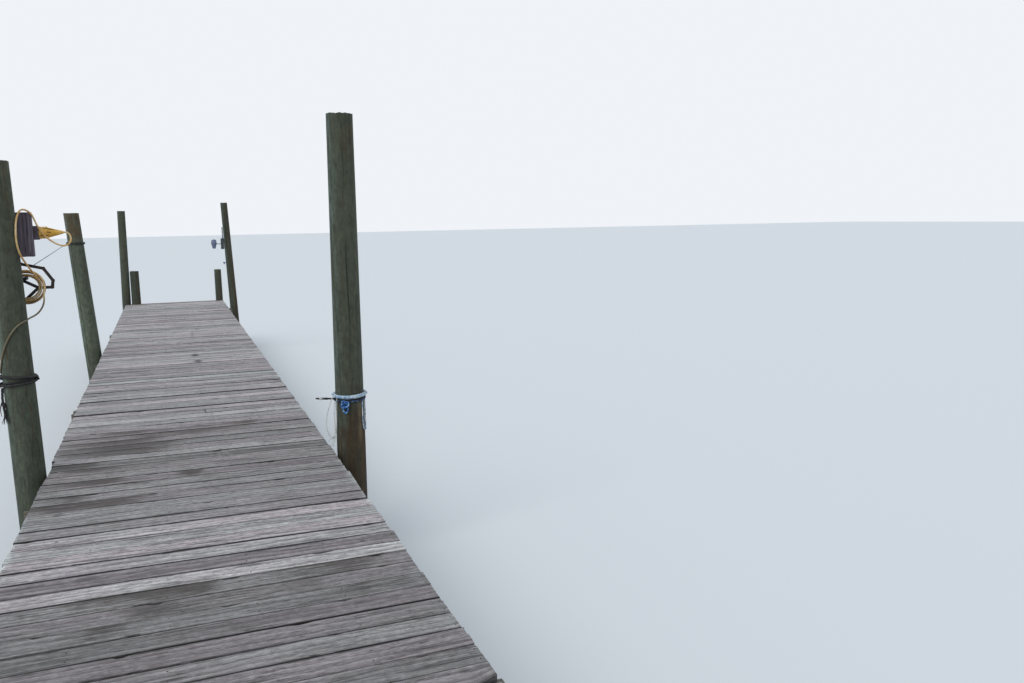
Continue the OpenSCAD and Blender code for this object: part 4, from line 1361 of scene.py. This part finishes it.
def clamp_caps():
    """The two timbers of each cap, one on each side of its piles, and the one timber at the far end."""
    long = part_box("cap_1")[1].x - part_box("cap_1")[0].x
    for k in range(1, 7):
        name = "cap_%d" % k
        low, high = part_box(name)
        skew = BENT_SKEW.get(k, 0.0)
        stock = Stock()
        for side in (-1, 1):
            off = side * (TONGUE / 2 + STRINGER_T / 2)
            middle = np.array([-off * math.sin(skew), BENTS[k] + off * math.cos(skew), (low.z + high.z) / 2])
            half = np.array([long / 2, STRINGER_T / 2, (high.z - low.z) / 2])
            beam(stock, middle - half, middle + half, ALONG_X_ON_EDGE, CAP_SEED + 10 * k + side,
                 turn=skew, stain=0.35, bloom=0.25, shade=darker_towards_foot, steps=110, across=10, rough_ends=0.006)
        piece(stock, name + "_timbers", FRAME_WOOD, "frame_timber", name)
    stock = Stock()
    beam(stock, *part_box("cap_far"), ALONG_X_ON_EDGE, FAR_CAP_SEED, stain=0.35, bloom=0.2, shade=darker_towards_foot,
         steps=90, across=12)
    piece(stock, "cap_far_timber", FRAME_WOOD, "frame_timber", "cap_far")


# Piles

# The top edge: how high its rounding is, how far in it comes, and its rings, as angles in radians
RIM_H = 0.005
RIM_IN = 0.0025
RIM_RINGS = (0.5, 1.0, 1.4)
# The end of a pile: its rings, as shares of the pile's radius
END_RINGS = (0.9, 0.72, 0.5, 0.28, 0.1)
# Splits down the sides, and how soon a cut for a cap reaches its depth
SPLIT_DEPTH = 0.007
SPLIT_W = 0.0035
CUT_EDGE = 0.0004


def splits_of(rng, angle, height, radius, top, seed, count):
    """How deep splits make a pile's skin, from 0 to 1: each is a narrow bell round the angle that
    wanders as it rises and fades out at both ends."""
    deep = np.zeros_like(height)
    for k in range(count):
        at = rng.uniform(0, TAU)
        wander = at + 0.12 * waves(height[:, 0], seed + 60 + k, 0.2, 0.8, 4)[:, None]
        off = (angle - wander + math.pi) % TAU - math.pi
        start, stop = np.sort(rng.uniform(0.2, top, 2))
        stop = max(stop, start + 0.8)
        strength = unit(np.minimum(height - start, stop - height) * 4)
        deep = np.maximum(deep, strength * np.exp(-(off / (SPLIT_W / radius)) ** 2))
    return deep


def clamped(x, y, heights, foot_x, skew):
    """The skin's x and y with its sides cut flat to the tongue, between the cap's foot and top and as
    far as the cap reaches."""
    c, s = math.cos(skew), math.sin(skew)
    across = x * s + y * c
    held = (heights > CAP_FOOT) & (heights < CAP_TOP)
    within = np.abs((foot_x + x) * c) < CAP_END
    limit = np.where(held[:, None] & within, TONGUE / 2, 9.0)
    inside = np.clip(across, -limit, limit)
    return x + (inside - across) * s, y + (inside - across) * c


def pile_skin(stock, foot, radius, top, slope, seed, skew=None, sides=128, hollow=0.0, stain=None,
              splits=5, ragged=0.003, tones=1.0, shade=None):
    """A round pile from the flat up to its top. Round the angle and up the height its radius is the
    plain taper, times slow bulges, less long narrow splits; where a cap clamps it, its sides are cut
    flat. Above the top edge the rings shrink to the middle, over an end that is dished by hollow and
    roughened, and the top edge is ragged by up to that much. The stain and the shade are worked out
    from the angle and the height."""
    rng = np.random.default_rng(seed)
    angle = np.arange(sides) * TAU / sides
    rim_foot = top - RIM_H
    heights = np.concatenate([np.linspace(0, rim_foot, 110), rim_foot + RIM_H * np.sin(RIM_RINGS)])
    if skew is not None:
        cuts = [CAP_FOOT - CUT_EDGE, CAP_FOOT + CUT_EDGE, CAP_TOP - CUT_EDGE, CAP_TOP + CUT_EDGE]
        heights = np.sort(np.concatenate([heights, cuts]))
    above = heights - DECK_TOP
    rim = unit((heights - rim_foot) / RIM_H)
    r = radius - TAPER * np.clip(above, 0, None) - RIM_IN * rim ** 2
    a, h = np.broadcast_arrays(angle[None], heights[:, None])
    bulge = 0.012 * waves_round(a, h, seed, 5, 0.3, 1.2) + 0.005 * waves_round(a * 4, h, seed + 5, 6, 0.5, 3)
    deep = splits_of(rng, a, h, radius, top, seed, splits)
    skin = r[:, None] * (1 - np.abs(bulge) * 0.8) - SPLIT_DEPTH * deep
    x, y = skin * np.cos(a), skin * np.sin(a)
    if skew is not None:
        x, y = clamped(x, y, heights, foot[0], skew)
    middle = np.stack([foot[0] + above * slope, np.full_like(above, foot[1]), heights], -1)
    torn = ragged * (0.5 + 0.5 * np.clip(waves_round(angle * 2, angle * 0, seed + 2, 9), -1, 1))
    sunk = -torn[None] * unit((h - top + 0.06) / 0.06)
    rings = middle[:, None] + np.stack([x, y, sunk], -1)

    shrink = np.array(END_RINGS)[:, None]
    rough = 0.0025 * waves_round(angle[None], shrink * 2, seed + 9, 7) * shrink
    end_x, end_y = middle[-1, 0] + shrink * x[-1], middle[-1, 1] + shrink * y[-1]
    end_z = rings[-1, :, 2].mean() - 0.002 - hollow * (1 - shrink ** 2) + rough
    rings = np.concatenate([rings, np.stack([end_x, end_y, end_z], -1)])
    grain = np.stack([rings[..., 2], rings[..., 0] - foot[0], rings[..., 1] - foot[1]], -1)
    grain = grain + rng.uniform(-GRAIN_SHIFT, GRAIN_SHIFT, 3)

    z, round_it = rings[..., 2], angle[None]
    tone = np.interp(z, [0, 0.35, CAP_TOP, DECK_TOP + 0.3, top], [0.45, 0.62, 0.85, 0.98, 1.06])
    tone = tone * (1 - 0.55 * np.concatenate([deep, np.zeros_like(end_z)])) * tones
    tone[-len(END_RINGS):] *= 1.25
    if shade is not None:
        tone = tone * shade(round_it, z)
    # Painted light: the side that faces -X, towards the light, takes the pale teal bloom colour, broken by
    # noise and fainter low down
    lit = unit(-np.cos(round_it)) ** 3
    bloom = unit(0.9 * lit - 0.1 * waves_round(round_it, z, seed + 3)) * np.interp(z, [0.5, 1.2], [0.3, 1])
    brown = unit(0.1 + 0.2 * waves_round(round_it, z, seed + 4))
    if stain is not None:
        brown = np.clip(brown + stain(round_it, z), 0, 2)
    stock.add(rings, grain, tone=tone, stain=brown, bloom=bloom)


def facing(angle, degrees, gain, limit):
    """1 on a pile's side that faces that many degrees round from +X, and 0 away from it: the cosine
    of the angle from there, times the gain, less a limit."""
    return unit(np.cos(angle - math.radians(degrees)) * gain - limit)


def low_right_rust(angle, z):
    """Brown on the side that faces right and forward, strongest in the lowest tenth of a metre over
    the deck, with a faint patch near the top."""
    up = z - DECK_TOP
    low = 1.5 * np.interp(up, [-0.3, 0.06, 0.24, 0.5], [1, 1, 0.45, 0])
    high = 0.35 * np.interp(up, [1.95, 2.1, 2.2, 2.3], [0, 1, 1, 0])
    foot = 0.9 * np.interp(up, [0.08, 0.2], [1, 0])
    return np.maximum(facing(angle, -60, 2.2, 0.9) * (low + high), foot)


def low_right_shade(angle, z):
    """Lighter down the right edge of the brown, with dark runs in front just above it, and darker at
    the top."""
    angle, z = np.broadcast_arrays(angle, z - DECK_TOP)
    edge = np.exp(-((angle % TAU - math.radians(303)) / 0.2) ** 2)
    edge = edge * np.interp(z, [0.0, 0.08, 0.28, 0.38], [0.2, 1, 0.9, 0])
    brown = np.interp(z, [0.1, 0.35], [1, 0]) * facing(angle, 285, 2, 0.8)
    run = unit(waves_round(angle * 3, z * 0, 77, 12, 0.5, 2) - 0.1)
    run = run * np.exp(-((z - 0.24) / 0.1) ** 2) * (0.5 + 0.5 * np.cos(angle - math.radians(242)))
    top = np.interp(z, [1.9, 2.25, 2.33], [1.0, 0.9, 0.75])
    return (1 + 1.7 * edge) * (1 - 0.7 * run) * (1 - 0.15 * brown) * top


def light_foot(angle, z):
    """Lighter towards the deck: it falls evenly from 1.4 to 1 between two heights."""
    return np.interp(z - DECK_TOP, [0.3, 1.0], [1.4, 1.0]) + 0 * angle


def right_brown(angle, z):
    """Brown down the side that faces right."""
    return 0.4 * facing(angle, -40, 2.0, 0.8) + 0 * z


def brown_top(angle, z):
    """Brown near the top of the middle left pile."""
    return 0.45 * np.interp(z - DECK_TOP, [1.35, 1.5], [0, 1]) + 0 * angle


PILE_LOOKS = {
    "pile_near_left": dict(sides=160, hollow=0.004, tones=1.14, splits=3),
    "pile_near_right": dict(sides=160, hollow=0.012, stain=low_right_rust, shade=low_right_shade,
                            ragged=0.008),
    "pile_mid_left": dict(sides=144, stain=brown_top, tones=1.3, splits=3, shade=light_foot),
    "pile_corner_left": dict(sides=96, tones=1.05),
    "pile_far_right": dict(sides=96, tones=0.92, stain=right_brown),
    "pile_stub_left": dict(sides=96, stain=right_brown),
    "pile_stub_right": dict(sides=96, stain=right_brown),
}


def drive_piles():
    """Every pile, tall and low. Tall ones are pieces of their own; low ones share one a side."""
    for k, (name, (radius, _, lean, bent)) in enumerate(PILES.items()):
        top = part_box(name)[1].z - radius * math.sin(math.radians(abs(lean)))
        skew = None if bent is None else -BENT_SKEW.get(bent, 0.0)
        stock = Stock()
        pile_skin(stock, pile_axis(name), radius, top, slope_of(name), PILE_SEED + 7 * k, skew,
                  **PILE_LOOKS[name])
        piece(stock, name + "_log", PILE_WOOD, "pile_timber", name)
    for side, name in ((-1, "low_piles_left"), (1, "low_piles_right")):
        stock = Stock()
        for bent in LOW_BENTS[side]:
            pile_skin(stock, (side * BOARD_L / 2, BENTS[bent]), LOW_R, CAP_TOP, 0.0,
                      LOW_PILE_SEED + 10 * bent + side, 0.0, sides=72, splits=4)
        piece(stock, name + "_logs", PILE_WOOD, "pile_timber", name)


# Fastenings

# Profiles of a washer, a six-sided nut and the end of a rod, along the rod's line
WASHER = ([(0, 0.02), (0.003, 0.02), (0.0032, 0.012)], 20)
NUT = ([(0.003, 0.0115), (0.0035, 0.0125), (0.0125, 0.0125), (0.0135, 0.0105)], 6)
ROD_END = ([(0.01, 0.006), (0.019, 0.006), (0.02, 0.005)], 12)
# How far right of the middle the bolts of the tall piles that caps clamp are
TALL_BOLTS = {"pile_near_left": -1.0, "pile_near_right": 1.01, "pile_mid_left": -1.03}
# Heights of the two bolts of a joint, as shares of the cap's height
BOLT_UP = (0.32, 0.7)
FAR_BOLT_UP = (0.3, 0.7)


def bolt(stock, spot, way):
    """A washer, a nut and the end of its rod, standing out along +Y or -Y."""
    for profile, sides in (WASHER, NUT, ROD_END):
        rings = turned(profile, axis="y", sides=sides)
        if way < 0:
            rings = (rings * (1, -1, 1))[:, ::-1]
        stock.add(rings + spot)


def fasten():
    """Two bolts through each cap and pile. A low pile's stand one at each side of its middle."""
    stock = Stock()
    spots = [(side * BOARD_L / 2, bent) for side, bents in LOW_BENTS.items() for bent in bents]
    spots += [(x, PILES[name][3]) for name, x in TALL_BOLTS.items()]
    rng = np.random.default_rng(BOLT_SEED)
    for x, bent in spots:
        skew = BENT_SKEW.get(bent, 0.0)
        slope = math.tan(skew)
        for up in BOLT_UP:
            z = CAP_FOOT + up * (CAP_TOP - CAP_FOOT)
            tall = abs(x) > BOARD_L / 2
            shift = rng.normal(0, 0.003) if tall else rng.normal(0.035 - 0.18 * (up - BOLT_UP[0]), 0.01)
            for way in (1,) if bent == 1 else (-1, 1):
                y = BENTS[bent] + x * slope + way * (TONGUE / 2 + STRINGER_T) / math.cos(skew)
                bolt(stock, np.array([x + shift, y + slope * shift, z]), way)
    low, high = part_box("cap_far")
    for name in ("pile_corner_left", "pile_stub_right"):
        for up in FAR_BOLT_UP:
            bolt(stock, np.array([pile_axis(name)[0], low.y, low.z + up * (high.z - low.z)]), -1)
    piece(stock, "cap_bolts", BOLT_METAL, "hook_steel")


# Fittings on the piles

# The hanger board and its arm, from the near left pile's axis at the deck
HANGER_RIGHT = 0.139
HANGER_W = 0.184
ARM_FOOT = 1.515
ARM_L = 0.19
ARM_W = 0.09
# The board's nails: places right of the axis and over the deck, and how far behind the board's front
# their heads lie
HANGER_NAILS = ((0.0, 1.45), (0.05, 1.62), (0.005, 1.6), (0.055, 1.44))
HANGER_NAIL_IN = 0.0385
HANGER_NAIL = [(-0.001, 0.005), (0.002, 0.005), (0.003, 0.003)]


def hang_hanger():
    """The upright board nailed to the back of the near left pile and the arm behind it."""
    low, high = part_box("hanger_board")
    split = (low.y + high.y) / 2
    side = NEAR_LEFT[0] + HANGER_RIGHT
    arm = NEAR_LEFT[2] + ARM_FOOT
    stock = Stock()
    beam(stock, (side - HANGER_W, low.y, low.z), (side, split, high.z), ALONG_Z, HANGER_SEED, across=10,
         steps=30, stain=0.2, rough_ends=0.004)
    beam(stock, (high.x - ARM_L, split, arm), (high.x, high.y, arm + ARM_W), ALONG_X_ON_EDGE,
         HANGER_SEED + 1, across=6, steps=24, stain=0.2, tone=0.85)
    piece(stock, "hanger_planks", HANGER_WOOD, "hanger_timber", "hanger_board")
    nails = Stock()
    for x, z in HANGER_NAILS:
        spot = NEAR_LEFT + (x, low.y - NEAR_LEFT[1] + HANGER_NAIL_IN, z)
        nails.add(turned(HANGER_NAIL, spot, "y", 10))
    piece(nails, "hanger_nails", NAIL_METAL, "hook_steel")


# The far right pile's fittings: heights over the deck, how far the box's middle is from the pile's
# side, and how far the lamp's axis is in from the left end of all
BOX_Z = 1.19
BOX_OUT = 0.031
LAMP_IN = 0.05
TAP_Z = 0.837
# The box and its lid: low and high corner from the box's middle, and how its skin is made
BOX_PARTS = (
    ((-0.028, -0.034, -0.1), (0.028, 0.034, 0.1), dict(across=4, steps=14, rounding=0.006)),
    ((-0.03, -0.0355, -0.085), (0.026, -0.0325, 0.085), dict(across=2, steps=6, rounding=0.001)),
)
CONDUIT = [(0.09, 0.009), (0.31, 0.009)]
GLAND = [(0.1, 0.013), (0.116, 0.013), (0.118, 0.01)]
CONDUIT_RIGHT = 0.01
LAMP_ARM_R = 0.007
LAMP_R = 0.05
# The lamp's head: heights from its arm, and shares of its radius
LAMP_HEAD = [
    (-0.0865, 0.5), (-0.084, 0.56), (-0.05, 0.7), (-0.02, 0.88), (0.0, 0.96), (0.003, 0.99), (0.03, 0.99),
    (0.034, 0.93), (0.055, 0.92), (0.07, 0.8), (0.08, 0.55), (0.086, 0.2),
]
TAP_SPINDLE = [
    (-0.045, 0.01), (-0.039, 0.01), (-0.0385, 0.0065), (-0.009, 0.0065), (-0.008, 0.009), (-0.001, 0.009),
]
TAP_SPOUT = [(-0.034, 0.0055), (-0.03, 0.008), (-0.012, 0.008), (0.0, 0.008), (0.004, 0.005)]
SPOUT_OUT = 0.03
WHEEL_OUT = 0.046
WHEEL_R = 0.0125
WHEEL_D = 0.006
WHEEL_HUB = [(-0.002, 0.011), (0.002, 0.011)]


def far_right_fittings():
    """A junction box with a lid and a conduit, a lamp on its arm, and a tap with a round handle."""
    name = "pile_far_right"
    axis = pile_axis(name)

    def from_side(up, out):
        """A place in front of the pile's left side, that far up and out."""
        side = axis[0] + up * slope_of(name) - pile_radius(name, up)
        return np.array([side - out, axis[1], DECK_TOP + up])

    middle = from_side(BOX_Z, BOX_OUT)
    case = Stock()
    for k, (low, high, shape) in enumerate(BOX_PARTS):
        beam(case, middle + low, middle + high, ALONG_Z, BOX_SEED + k, wear=0, **shape)
    piece(case, "junction_box", BOX_METAL, "fitting_metal", "far_right_fittings")
    stock = Stock()
    for profile in (CONDUIT, GLAND):
        stock.add(turned(profile, middle + (CONDUIT_RIGHT, 0, 0), sides=16))
    lamp = np.array([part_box("far_right_fittings")[0].x + LAMP_IN, middle[1], middle[2]])
    box_side = middle[0] + BOX_PARTS[0][0][0]
    stock.add(turned([(0, LAMP_ARM_R), (box_side - lamp[0], LAMP_ARM_R)], lamp, "x", 16))
    stock.add(turned(np.array(LAMP_HEAD) * (1, LAMP_R), lamp, sides=40))
    piece(stock, "lamp_and_conduit", LAMP_METAL, "fitting_metal")

    body = Stock()
    body.add(turned(TAP_SPINDLE, from_side(TAP_Z, 0), "x", 16))
    body.add(turned(TAP_SPOUT, from_side(TAP_Z, SPOUT_OUT), sides=14))
    piece(body, "tap_body", TAP_PAINT, "fitting_metal")
    wheel = Stock()
    hub = from_side(TAP_Z, WHEEL_OUT)
    angle = np.linspace(0, TAU, 36, endpoint=False)
    rim = WHEEL_R * np.stack([0 * angle, np.cos(angle), np.sin(angle)], -1)
    wheel.add(cord_rings(rim + hub, WHEEL_D, 10, loop=True), loop=True)
    wheel.add(turned(WHEEL_HUB, hub, "x", 20))
    piece(wheel, "tap_wheel", TAP_PAINT, "fitting_metal")


def saddle():
    """The block between the rim and the leaning pile: a plank whose points come no farther than a
    circle about the leaning axis."""
    low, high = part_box("saddle_block")
    name = "pile_far_right"
    axis = pile_axis(name)
    rings, grain = plank(high.y - low.y, high.z - low.z, high.x - low.x, SADDLE_SEED, steps=20)
    rings = rings @ ALONG_Y_ON_EDGE + (low + high) / 2
    middle = axis[0] + (rings[..., 2] - DECK_TOP) * slope_of(name)
    reach = PILES[name][0] + FIT
    along = np.clip(np.abs(rings[..., 1] - axis[1]), 0, reach)
    limit = middle - np.sqrt(reach ** 2 - along ** 2)
    rings[..., 0] = np.minimum(rings[..., 0], np.where(along < reach, limit, rings[..., 0]))
    stock = Stock()
    stock.add(rings, grain, tone=0.9, stain=0.3)
    piece(stock, "saddle", FRAME_WOOD, "frame_timber", "saddle_block")


# The stage

# Strength and colour of the sky as the camera sees it and as it lights the scene, and of the sun
SKY_SHOWN = ((0.87, 0.9, 0.94, 1), 1.0)
SKY_LIGHT = ((0.86, 0.93, 1.0, 1), 0.72)
SUN_STRENGTH = 1.15
SUN_COLOUR = (1.0, 0.98, 0.95)
SUN_SPREAD = math.radians(35)
SUN_TURN = (math.radians(28), math.radians(-38), 0)
FLOOR_COLOUR = (0.72, 0.75, 0.78, 1.0)
FLOOR_HALF = 150.0


def pale_sky():
    """A sky that the camera and mirrors see paler than it lights the scene."""
    world = bpy.data.worlds.new("pale sky")
    world.use_nodes = True
    tree = world.node_tree
    tree.nodes.clear()
    skies = []
    for colour, strength in (SKY_SHOWN, SKY_LIGHT):
        sky = tree.nodes.new("ShaderNodeBackground")
        sky.inputs["Color"].default_value = colour
        sky.inputs["Strength"].default_value = strength
        skies.append(sky.outputs[0])
    path = tree.nodes.new("ShaderNodeLightPath")
    seen = tree.nodes.new("ShaderNodeMath")
    seen.operation = "MAXIMUM"
    choose = tree.nodes.new("ShaderNodeMixShader")
    out = tree.nodes.new("ShaderNodeOutputWorld")
    for start, end in ((path.outputs["Is Camera Ray"], seen.inputs[0]),
                       (path.outputs["Is Glossy Ray"], seen.inputs[1]),
                       (seen.outputs[0], choose.inputs[0]), (skies[1], choose.inputs[1]),
                       (skies[0], choose.inputs[2]), (choose.outputs[0], out.inputs["Surface"])):
        tree.links.new(start, end)
    bpy.context.scene.world = world


def set_stage():
    """A pale flat floor under the piles, a pale sky all round, and soft light from the upper left."""
    bpy.context.scene.view_settings.view_transform = "Standard"
    pale_sky()
    sun = bpy.data.objects.new("soft sun", bpy.data.lights.new("soft sun", "SUN"))
    sun.data.energy = SUN_STRENGTH
    sun.data.angle = SUN_SPREAD
    sun.data.color = SUN_COLOUR
    sun.rotation_euler = SUN_TURN
    bpy.context.scene.collection.objects.link(sun)
    mesh = bpy.data.meshes.new("floor")
    corners = [(x * FLOOR_HALF, y * FLOOR_HALF, 0) for x, y in ((-1, -1), (1, -1), (1, 1), (-1, 1))]
    mesh.from_pydata(corners, [], [(0, 1, 2, 3)])
    mesh.materials.append(Finish("floor").finish(FLOOR_COLOUR, 0.9, Specular_IOR_Level=0.1))
    floor = bpy.data.objects.new("floor", mesh)
    bpy.context.scene.collection.objects.link(floor)


def paint_solids():
    """Solids that keep their own shape get their finish here."""
    for name, material in (("cable_hook", HOOK_METAL), ("strung_line", DARK_LINE)):
        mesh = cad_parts[name].data
        mesh.materials.clear()
        mesh.materials.append(material)


set_camera()
hang_cable()
tie_black_rope()
tie_blue_rope()
tie_mid_rope()
lay_deck()
lay_stringers()
lay_fascias()
clamp_caps()
drive_piles()
fasten()
hang_hanger()
far_right_fittings()
saddle()
paint_solids()
set_stage()
